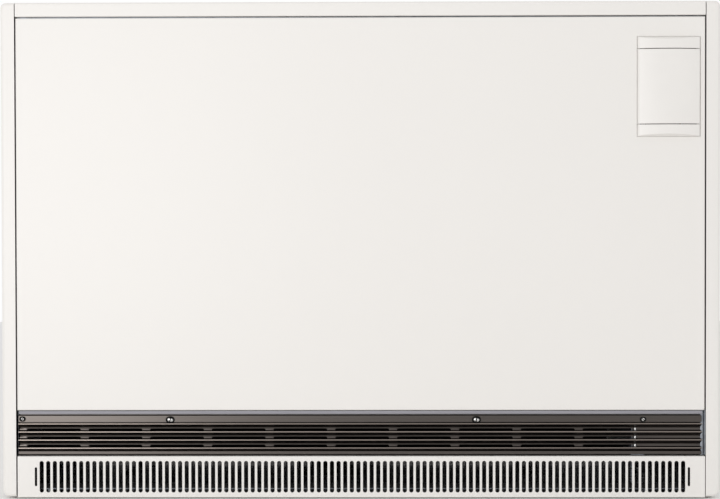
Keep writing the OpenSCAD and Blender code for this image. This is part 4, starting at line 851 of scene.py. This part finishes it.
def cut_slot(shape, width):
    """Pushes a slot into a dome whose back lies at the origin. No part of it passes the sill."""
    for side in (-1, 1):
        bmesh.ops.bisect_plane(shape, geom=shape.verts[:] + shape.edges[:] + shape.faces[:],
                               plane_co=(side * width / 2, 0, 0), plane_no=(1, 0, 0), dist=JOIN)
    top = [f for f in shape.faces if abs(f.calc_center_median().x) < width / 2
           and f.calc_center_median().y < SLOT_SILL]
    pushed = vertices(bmesh.ops.extrude_face_region(shape, geom=top)["geom"])
    bmesh.ops.delete(shape, geom=top, context="FACES")
    # The slot's faces take the black: painted shade in the slot.
    for face in each_once(f for v in pushed for f in v.link_faces):
        face.material_index = 1
    for v in pushed:
        v.co.y = max(SLOT_SILL, v.co.y + SLOT_DEPTH)


def slotted_head(x, z, width, height, slot, angle):
    """A domed oval head with a slot, turned by an angle in degrees."""
    head = bmesh.new()
    dome(head, width / 2, DOME_H)
    cut_slot(head, slot)
    bmesh.ops.scale(head, vec=(1, 1, height / width), verts=head.verts)
    rotate(head, head.verts, angle, "Y")
    bmesh.ops.translate(head, vec=(x, front_y + HEAD_SET, z), verts=head.verts)
    return head


def oval_shade_cup(name, x, z, width, height):
    """The black oval cup behind a head, the painted shade round it."""
    cup = bmesh.new()
    ring = round_hole(cup, x, z, width, height, steps=32)
    raise_face(cup, bmesh.ops.contextual_create(cup, geom=ring)["faces"], (0, -CUP_RISE, 0))
    bmesh.ops.translate(cup, vec=(0, front_y + CUP_SET, 0), verts=cup.verts)
    piece(name, cup, "case", shade_black, edge=0.2)


print("heads stand", round(DOME_H - HEAD_SET, 1), "mm proud of the case")

# %% [markdown]
# The fasteners in the band are quarter-turn studs: a slotted head on a shank that turns with it.
# The two plain screws and the three rivets are smaller domes of the same kind. Nobody lines up a
# screw's slot, so each head is turned its own way.
# %% Fasteners, screws and rivets
STUD_W, STUD_H, STUD_SLOT, STUD_ANGLE = 7.8, 5.0, 1.5, 12
STUD_CUP_W, STUD_CUP_H = 12.0, 9.6
SHANK_R, SHANK_SET = 2.6, 1.2
SCREW_W, SCREW_SLOT = 4.2, 1.0
SCREW_CUP_W, SCREW_CUP_H = 8.6, 7.0
RIVET_R, RIVET_H, RIVET_X, RIVET_SET = 2.2, 2.0, 0.9, 2.0
RIVET_OVAL = (0.75, 1, 1.45)


def fastener(node, body):
    """A quarter-turn stud: its slotted head on a shank, in an oval cup."""
    low, high = corners(node)
    x, z = (low.x + high.x) / 2, (low.z + high.z) / 2
    head = slotted_head(x, z, STUD_W, STUD_H, STUD_SLOT, STUD_ANGLE)
    rod(head, x, z, front_y + SHANK_SET, high.y, SHANK_R, 24)
    piece(node + "_stud", head, body, nickel, (node,), edge=0.0, inlay=shade_black)
    oval_shade_cup(node + "_cup", x, z, STUD_CUP_W, STUD_CUP_H)


fastener("grille_fastener_left", "fastener_left")
fastener("grille_fastener_right", "fastener_right")

low, high = corners("grille_screws")
screw_z = (low.z + high.z) / 2
for name, x, z, angle in (("band_screw_left", low.x + 4.1, screw_z + 1.2, 35),
                          ("band_screw_right", high.x - 3.3, screw_z + 0.3, -50)):
    screw = slotted_head(x, z, SCREW_W, SCREW_W, SCREW_SLOT, angle)
    piece(name, screw, "case", nickel, ("grille_screws",), edge=0.0, inlay=shade_black)
    oval_shade_cup(name + "_cup", x, z, SCREW_CUP_W, SCREW_CUP_H)

for i, z in enumerate(lips[1:], start=1):
    rivet = bmesh.new()
    dome(rivet, RIVET_R, RIVET_H)
    bmesh.ops.scale(rivet, vec=RIVET_OVAL, verts=rivet.verts)
    bmesh.ops.translate(rivet, vec=(rivet_x + RIVET_X, rivet_low.y + RIVET_SET, z + RIVET_RISE),
                        verts=rivet.verts)
    piece("rivet_head_" + str(i), rivet, "case", nickel, ("grille_rivets",), edge=0.0)

# %% [markdown]
# The module is a plastic moulding with a bowed front. Seen from above, its outline is a long
# shallow arc that runs into a round hinge edge at the left. The arc is found from its width and
# its rise. A vertex that is spun without being copied leaves a chain of edges behind it, so both
# arcs are spins.
# %% Plan of the control module
SIDE_PROUD = 2.5
low, high = corners("control_flap")
side_y = front_y - SIDE_PROUD
rise = side_y - low.y
half_width = (module_high.x - module_low.x) / 2
BOW_R = (half_width ** 2 + rise ** 2) / (2 * rise)
bow_centre = Vector(((module_low.x + module_high.x) / 2, low.y + BOW_R, 0))
low, high = corners("flap_pins")
hinge = Vector(((low.x + high.x) / 2, (low.y + high.y) / 2, 0))
reach = (hinge - bow_centre).length
HINGE_R = BOW_R - reach
bow_right = math.degrees(math.atan2(side_y - bow_centre.y, half_width))
bow_left = math.degrees(math.atan2(hinge.y - bow_centre.y, hinge.x - bow_centre.x))
if bow_left > bow_right:
    bow_left -= 360


def around(centre, radius, degrees):
    """The place on a circle in plan, at an angle."""
    angle = math.radians(degrees)
    return centre + Vector((math.cos(angle), math.sin(angle), 0)) * radius


def arc(shape, centre, radius, start, end, steps):
    """A chain of edges along an arc in plan, between two angles in degrees. Gives its two ends."""
    first = shape.verts.new(around(centre, radius, start))
    last = bmesh.ops.spin(shape, geom=[first], cent=centre, axis=(0, 0, 1),
                          angle=math.radians(end - start), steps=steps, use_duplicate=False)
    return first, last["geom_last"][0]


def point(shape, x, y):
    """A single corner of a plan, as a chain that starts and ends in it."""
    vert = shape.verts.new((x, y, 0))
    return vert, vert


def raise_plan(shape, chains, low_z, high_z):
    """Joins chains of edges into one loop, fills it, and raises it between two heights."""
    for (_, end), (start, _) in zip(chains, chains[1:] + chains[:1]):
        if (end.co - start.co).length > JOIN:
            shape.edges.new((end, start))
    bmesh.ops.remove_doubles(shape, verts=shape.verts, dist=JOIN)
    plan = bmesh.ops.contextual_create(shape, geom=shape.edges)["faces"]
    raise_face(shape, plan, (0, 0, high_z - low_z))
    bmesh.ops.translate(shape, vec=(0, 0, low_z), verts=shape.verts)


print("bow of radius", round(BOW_R, 1), "from", round(bow_left, 1), "to", round(bow_right, 1))

# %% [markdown]
# The housing is fixed: two end caps with the bowed outline, whose end faces lean so that the caps
# can be drawn from their tool, a tray between them, a trough for the flap's hinge and a flange
# behind the panel. Its edges are only just broken, with a radius of 0.6 mm.
# %% End caps of the module
FLAP_GAP = 0.9
HOUSING_SET = 1.5
LEAN = 0.39
CAP_EDGE = 0.6
flap_low, flap_high = corners("control_flap")
cap_low_z, cap_high_z = flap_low.z - FLAP_GAP, flap_high.z + FLAP_GAP
housing_y = front_y + HOUSING_SET


def end_cap(low_z, high_z):
    shape = bmesh.new()
    chains = [point(shape, module_high.x, housing_y), point(shape, module_high.x, side_y),
              arc(shape, bow_centre, BOW_R, bow_right, bow_left, 32),
              arc(shape, hinge, HINGE_R, bow_left, -180, 10),
              point(shape, module_low.x, housing_y)]
    raise_plan(shape, chains, low_z, high_z)
    for v in shape.verts:
        proud = max(0, front_y - v.co.y) * LEAN
        if abs(v.co.z - module_high.z) < NEAR:
            v.co.z -= proud
        elif abs(v.co.z - module_low.z) < NEAR:
            v.co.z += proud
    return shape


for name, low_z, high_z in (("module_cap_low", module_low.z, cap_low_z),
                            ("module_cap_high", cap_high_z, module_high.z)):
    piece(name, end_cap(low_z, high_z), "case", abs_white, ("module_housing",),
          edge=CAP_EDGE)

# %% [markdown]
# Behind the flap the housing is a tray with walls 2 mm thick. A frame of flat strip round it is
# clamped behind the panel, and the trough beside it follows the flap's barrel with a small gap.
# The tray could be cut out of a block with a Boolean, but a block without its front face, given
# its walls by Solidify, keeps them even round the corners.
# %% Tray and trough behind the flap
TRAY_WALL, TRAY_R = 2.0, 1.5
FRAME_IN = 6.2
TROUGH_WALL, TROUGH_GAP, TROUGH_FROM, TROUGH_TO = 1.5, 0.6, 140, 10
housing_low, housing_high = corners("module_housing")
fascia_low, fascia_high = corners("module_fascia")


def module_tray():
    tray = bmesh.new()
    block(tray, (fascia_low.x, housing_y, fascia_low.z),
          (fascia_high.x, housing_high.y - TRAY_WALL, fascia_high.z))
    bmesh.ops.delete(tray, geom=on_planes(tray.faces, y=housing_y), context="FACES")
    round_off(tray, [e for e in tray.edges if not e.is_boundary], TRAY_R, 4)
    piece("module_tray", tray, "case", abs_white, ("module_housing",),
          sheet=-TRAY_WALL, outward=(0, 1, 0))
    flange = bmesh.new()
    outer = rectangle(flange, housing_low.x, housing_low.z, housing_high.x, housing_high.z)
    inner = rectangle(flange, hinge.x + FRAME_IN, cap_low_z, fascia_high.x, cap_high_z)
    bmesh.ops.triangle_fill(flange, use_beauty=True, use_dissolve=False, edges=outer + inner,
                            normal=(0, -1, 0))
    bmesh.ops.translate(flange, vec=(0, housing_y, 0), verts=flange.verts)
    piece("module_flange", flange, "case", abs_white, ("module_housing",),
          sheet=TRAY_WALL, outward=(0, -1, 0))
    trough = bmesh.new()
    arc(trough, hinge, HINGE_R + TROUGH_GAP, TROUGH_FROM, TROUGH_TO, 18)
    draw_out(trough, trough.edges[:], (0, 0, cap_high_z - cap_low_z))
    bmesh.ops.translate(trough, vec=(0, 0, cap_low_z), verts=trough.verts)
    piece("module_trough", trough, "case", abs_white, ("module_housing",),
          sheet=TROUGH_WALL, outward=(0, -1, 0))


module_tray()

# %% [markdown]
# The flap is one moulding: a bowed skin 2 mm thick, a barrel round its pins at the left, and a lip
# along its free edge at the right, which a finger can reach. In plan it is one closed outline,
# drawn up between the two end caps with a gap of 0.9 mm.
# %% Flap
FLAP_WALL, FLAP_LIP, FLAP_SET = 2.0, 1.6, 0.4
inner_r = BOW_R - FLAP_WALL
meet = math.degrees(math.acos((inner_r ** 2 - reach ** 2 - HINGE_R ** 2) / (2 * reach * HINGE_R)))
barrel_end = bow_left + meet
joint_at = around(hinge, HINGE_R, barrel_end) - bow_centre
inner_left = math.degrees(math.atan2(joint_at.y, joint_at.x))
if inner_left > bow_right:
    inner_left -= 360
lip_x = module_high.x - FLAP_LIP
inner_right = -math.degrees(math.acos((lip_x - bow_centre.x) / inner_r))

flap = bmesh.new()
chains = [point(flap, module_high.x, housing_y - FLAP_SET),
          arc(flap, bow_centre, BOW_R, bow_right, bow_left, 40),
          arc(flap, hinge, HINGE_R, bow_left, barrel_end - 360, 32),
          arc(flap, bow_centre, inner_r, inner_left, inner_right, 40),
          point(flap, lip_x, housing_y - FLAP_SET)]
raise_plan(flap, chains, flap_low.z, flap_high.z)
piece("flap_cover", flap, "flap", abs_white, ("control_flap",), edge=0.5)

# %% [markdown]
# Behind the flap sits the fascia, a shade darker than the case. It is a plate with an opening for
# the rocker, a bore for the lamp and one for the dial's shaft, all filled in between in one step.
# %% Fascia
DIAL_R, SHAFT_BORE = 19.5, 7.0
ROCKER_W, ROCKER_H, ROCKER_SIDE, ROCKER_END = 12.0, 26.0, 0.4, 0.8
LAMP_R, LAMP_GAP = 2.5, 0.1
FASCIA_T, FASCIA_GAP = 2.0, 0.3
fascia_y = fascia_low.y
dial_low, dial_high = corners("thermostat_dial")
dial = Vector(((dial_low.x + dial_high.x) / 2, dial_low.y, (dial_low.z + dial_high.z) / 2))
rocker_low, rocker_high = corners("rocker_switch")
rocker_z = (rocker_low.z + rocker_high.z) / 2
lamp_low, lamp_high = corners("pilot_lamp")
lamp = Vector(((lamp_low.x + lamp_high.x) / 2, lamp_low.y, (lamp_low.z + lamp_high.z) / 2))

plate = bmesh.new()
edges = rectangle(plate, fascia_low.x + FASCIA_GAP, fascia_low.z + FASCIA_GAP,
                  fascia_high.x - FASCIA_GAP, fascia_high.z - FASCIA_GAP)
half_w, half_h = ROCKER_W / 2 + ROCKER_SIDE, ROCKER_H / 2 + ROCKER_END
edges += rectangle(plate, dial.x - half_w, rocker_z - half_h, dial.x + half_w, rocker_z + half_h)
lamp_bore = 2 * (LAMP_R + LAMP_GAP)
edges += round_hole(plate, lamp.x, lamp.z, lamp_bore, lamp_bore, steps=32)
edges += round_hole(plate, dial.x, dial.z, SHAFT_BORE, SHAFT_BORE, steps=24)
bmesh.ops.triangle_fill(plate, use_beauty=True, use_dissolve=False, edges=edges, normal=(0, -1, 0))
bmesh.ops.translate(plate, vec=(0, fascia_y, 0), verts=plate.verts)
piece("fascia_plate", plate, "case", abs_shade, ("module_fascia",), sheet=FASCIA_T,
      edge=0.3, outward=(0, -1, 0))

# %% [markdown]
# The scale is printed: eleven fine ticks round the dial and the numbers 1 to 6, set out on the 270
# degrees that the dial turns through. Print is only a film, so both stand 0.08 mm proud. The
# numbers are text objects, made a mesh before they are put in place. An image could carry the
# scale, but shapes stay sharp from close by.
# %% Scale on the fascia
INK_T = 0.08
SCALE_START, SCALE_SWEEP = -135, 270
TICKS, TICK_W, TICK_GAP, TICK_LONG, TICK_SHORT = 11, 0.5, 0.9, 3.3, 2.3
NUMBERS, NUMBER_H, NUMBER_R = 6, 5.0, DIAL_R + 6.2

ticks = bmesh.new()
for i in range(TICKS):
    top = DIAL_R + (TICK_SHORT if i % 2 else TICK_LONG)
    tick = block(ticks, (-TICK_W / 2, -INK_T, DIAL_R + TICK_GAP), (TICK_W / 2, 0, top))
    rotate(ticks, tick, SCALE_START + i * SCALE_SWEEP / (TICKS - 1), "Y")
bmesh.ops.translate(ticks, vec=(dial.x, fascia_y, dial.z), verts=ticks.verts)
piece("scale_ticks", ticks, "case", black_plastic, edge=0)

for i in range(NUMBERS):
    letter = bpy.data.curves.new("number", "FONT")
    letter.body = str(i + 1)
    letter.size = NUMBER_H
    letter.align_x, letter.align_y = "CENTER", "CENTER"
    letter.extrude = INK_T / 2
    drawn = bpy.data.objects.new("number", letter)
    scene.collection.objects.link(drawn)
    bpy.context.view_layer.update()
    printed = bmesh.new()
    printed.from_mesh(drawn.to_mesh())
    bpy.data.objects.remove(drawn)
    rotate(printed, printed.verts, 90, "X")
    angle = math.radians(SCALE_START + i * SCALE_SWEEP / (NUMBERS - 1))
    place = Vector((dial.x, fascia_y, dial.z))
    place += Vector((math.sin(angle), 0, math.cos(angle))) * NUMBER_R
    bmesh.ops.translate(printed, vec=place, verts=printed.verts)
    piece("scale_number_" + str(i + 1), printed, "case", black_plastic, edge=0)

# %% [markdown]
# The dial is a skirt with a fluted cap. The flutes could be cut one by one, but a circle of 96
# vertices whose radius waves in and out gives all of them at once. It is then raised, and inset
# again near the top for its rounded shoulder. A rib on the cap points at the scale.
# %% Dial
DIAL_STEPS = 96
FLUTES, FLUTE_DEPTH = 16, 0.05
CAP_R, CAP_BACK = DIAL_R - 5, 5.0
CAP_RISES = ((3.2, 0.5), (0.7, 0.4), (0.3, 0.8))  # forwards and inwards, one step after the other
RIB_W, RIB_T, RIB_FROM, RIB_SHORT, RIB_R = 2.4, 1.2, 2.0, 2.2, 0.5
DIAL_BACK, DIAL_SHAFT_R = 7, 3


def dial_form():
    shape = bmesh.new()
    skirt = [(3.4, 7.0), (3.4, 7.6), (DIAL_R, 7.6), (DIAL_R, 5.6), (DIAL_R - 0.6, 5.0),
             (CAP_R - 1, 4.4)]
    spin_round(shape, skirt, DIAL_STEPS)
    rim = bmesh.ops.create_circle(shape, segments=DIAL_STEPS, radius=CAP_R, cap_ends=True)["verts"]
    for v in rim:
        wave = 0.5 + 0.5 * math.cos(FLUTES * math.atan2(v.co.y, v.co.x))
        v.co *= 1 - FLUTE_DEPTH * wave ** 2
    rotate(shape, rim, 90, "X")
    bmesh.ops.translate(shape, vec=(0, CAP_BACK, 0), verts=rim)
    face = [f for f in shape.faces if len(f.verts) == DIAL_STEPS]
    for forward, inward in CAP_RISES:
        face = bmesh.ops.extrude_discrete_faces(shape, faces=face)["faces"]
        bmesh.ops.translate(shape, vec=(0, -forward, 0), verts=face[0].verts[:])
        scale = 1 - inward / CAP_R
        bmesh.ops.scale(shape, vec=(scale, 1, scale), verts=face[0].verts[:])
    rib = block(shape, (-RIB_W / 2, 0, RIB_FROM), (RIB_W / 2, RIB_T, CAP_R - RIB_SHORT))
    rib_edges = each_once(e for v in rib for e in v.link_edges)
    round_off(shape, on_planes(rib_edges, y=0), RIB_R, 3)
    bmesh.ops.translate(shape, vec=dial, verts=shape.verts)
    rod(shape, dial.x, dial.z, dial.y + DIAL_BACK, dial_high.y, DIAL_SHAFT_R)
    piece("dial_knob", shape, "dial", abs_shade, ("thermostat_dial",), edge=0.15)


dial_form()

# %% [markdown]
# The rocker is a black moulding with a bent front: its two halves meet in a ridge, and one half is
# always pressed in. It is drawn in side view, drawn out over its width and tilted by 8 degrees,
# the way it sits at rest. The lamp is a clear orange dome in its bore.
# %% Rocker and lamp
ROCKER_TILT, ROCKER_SET = 8, 4.5
RIDGE_D, RIDGE_FALL, TIP_IN = 6.9, 1.6, 0.4


def rocker_form():
    half = ROCKER_H / 2
    end_y = RIDGE_FALL - RIDGE_D
    line = [(2, 1 - half), (2, half - 1), (-2, half), (end_y, half - TIP_IN), (-RIDGE_D, 0),
            (end_y, TIP_IN - half), (-2, -half)]
    shape = bmesh.new()
    chain(shape, [(-ROCKER_W / 2, y, z) for y, z in line], True)
    side = bmesh.ops.contextual_create(shape, geom=shape.edges)["faces"]
    raise_face(shape, side, (ROCKER_W, 0, 0))
    rotate(shape, shape.verts, ROCKER_TILT, "X")
    bmesh.ops.translate(shape, vec=(dial.x, fascia_y + ROCKER_SET, rocker_z), verts=shape.verts)
    piece("rocker_key", shape, "rocker", black_plastic, ("rocker_switch",),
          edge=0.7)


def lamp_form():
    shape = bmesh.new()
    radius = LAMP_R - LAMP_GAP
    dome(shape, radius, fascia_y - lamp.y, collar=0.3)
    bmesh.ops.translate(shape, vec=(lamp.x, fascia_y, lamp.z), verts=shape.verts)
    rod(shape, lamp.x, lamp.z, fascia_y, lamp_high.y, radius)
    piece("lamp_lens", shape, "case", lens, ("pilot_lamp",), edge=0)


rocker_form()
lamp_form()

# %% [markdown]
# The rear panel is flat sheet with two holes that hang the heater on the wall and one for the
# cable, which a rubber grommet lines. The grommet is one closed profile spun round the hole: its
# bore has rolled edges that don't cut the cable, and its collar sits behind the sheet.
# %% Rear panel and grommet
CABLE_R, CABLE_HOLE_R = 6.5, 9.5
WALL_HOLE_R, WALL_HOLE_X, WALL_HOLE_DROP = 4.5, 300.0, 24.0
GROMMET_ROLL, GROMMET_GAP = 0.8, 0.1
rear_low, rear_high = corners("rear_panel")
ring_low, ring_high = corners("cable_grommet")
cable_x, cable_z = (ring_low.x + ring_high.x) / 2, (ring_low.z + ring_high.z) / 2
core_low, core_high = corners("insulation_rear")


def rear_panel():
    shape = bmesh.new()
    rim = rectangle(shape, rear_low.x, rear_low.z, rear_high.x, rear_high.z)
    holes = round_hole(shape, cable_x, cable_z, 2 * CABLE_HOLE_R, 2 * CABLE_HOLE_R, steps=32)
    for side in (-1, 1):
        x = (core_low.x + core_high.x) / 2 + side * WALL_HOLE_X
        holes += round_hole(shape, x, rear_high.z - WALL_HOLE_DROP, 2 * WALL_HOLE_R,
                            2 * WALL_HOLE_R, steps=24)
    bmesh.ops.triangle_fill(shape, use_beauty=True, use_dissolve=False, edges=rim + holes,
                            normal=(0, 1, 0))
    bmesh.ops.translate(shape, vec=(0, rear_high.y, 0), verts=shape.verts)
    piece("rear_plate", shape, "case", rear_coat, ("rear_panel",),
          sheet=rear_high.y - rear_low.y, outward=(0, 1, 0))


def grommet():
    collar_r, neck_r = (ring_high.x - ring_low.x) / 2, CABLE_HOLE_R - GROMMET_GAP
    front, back, sheet_y = ring_low.y, ring_high.y, rear_low.y - GROMMET_GAP
    roll = GROMMET_ROLL
    profile = [(CABLE_R, front + roll), (CABLE_R, back - roll), (CABLE_R + roll, back),
               (neck_r - roll, back), (neck_r, back - roll), (neck_r, sheet_y),
               (collar_r, sheet_y), (collar_r, front + roll), (collar_r - roll, front),
               (CABLE_R + roll, front)]
    shape = bmesh.new()
    spin_round(shape, profile, 40, closed=True)
    bmesh.ops.translate(shape, vec=(cable_x, 0, cable_z), verts=shape.verts)
    piece("cable_bush", shape, "case", rubber, ("cable_grommet",))


rear_panel()
grommet()

# %% [markdown]
# The studio is plain: a pale floor, a soft sky from everywhere and one large soft lamp at the
# front left. The sky gives about four fifths of the light and the lamp the rest, so that the left
# end of the case comes out a little brighter than the right end. Camera, mirror and glass rays see
# a white backdrop, because the sky itself is dimmer than white.
# %% Floor, sky and lamp
FLOOR_HEX, FLOOR_ROUGH, FLOOR_HALF, FLOOR_BELOW = "#FBFAF9", 0.9, 4, 0.0005
SKY = 0.773
LAMP_POWER, LAMP_SIZE = 13.8, 0.7
LAMP_AT, LAMP_AIM = Vector((-0.95, -2.6, 0.45)), Vector((0, -0.12, 0.3))


def make_floor():
    paper, tree, _ = start_finish("matt white paper floor")
    skin = add_node(tree, "ShaderNodeBsdfPrincipled",
                    {"Base Color": linear(FLOOR_HEX), "Roughness": FLOOR_ROUGH})
    add_node(tree, "ShaderNodeOutputMaterial", {"Surface": skin.outputs["BSDF"]})
    ground = bmesh.new()
    bmesh.ops.create_grid(ground, x_segments=1, y_segments=1, size=FLOOR_HALF)
    bmesh.ops.translate(ground, vec=(0, 0, cad_box[0].z - FLOOR_BELOW), verts=ground.verts)
    mesh = bpy.data.meshes.new("floor")
    ground.to_mesh(mesh)
    ground.free()
    mesh.materials.append(paper)
    floor = bpy.data.objects.new("floor", mesh)
    scene.collection.objects.link(floor)


def make_sky():
    world = bpy.data.worlds.new("sky")
    world.use_nodes = True
    scene.world = world
    tree = world.node_tree
    tree.nodes.clear()
    rays = add_node(tree, "ShaderNodeLightPath").outputs
    seen = rays["Is Camera Ray"]
    for kind in ("Is Glossy Ray", "Is Transmission Ray"):
        seen = add_node(tree, "ShaderNodeMath", {0: seen, 1: rays[kind]},
                        operation="MAXIMUM").outputs[0]
    level = add_node(tree, "ShaderNodeMapRange",
                     {"Value": seen, "To Min": SKY, "To Max": 1.0}).outputs[0]
    sky = add_node(tree, "ShaderNodeBackground", {"Color": (1, 1, 1, 1), "Strength": level})
    add_node(tree, "ShaderNodeOutputWorld", {"Surface": sky.outputs["Background"]})


def make_lamp():
    softbox = bpy.data.lights.new("softbox", "AREA")
    softbox.energy = LAMP_POWER
    softbox.size = LAMP_SIZE
    stand = bpy.data.objects.new("softbox", softbox)
    scene.collection.objects.link(stand)
    facing = (LAMP_AIM - LAMP_AT).to_track_quat("-Z", "Y").to_matrix().to_4x4()
    stand.matrix_world = Matrix.Translation(LAMP_AT) @ facing


make_floor()
make_sky()
make_lamp()
scene.view_settings.view_transform = "Standard"
print("lamp of", LAMP_POWER, "W and", LAMP_SIZE, "m, and a sky of", SKY)
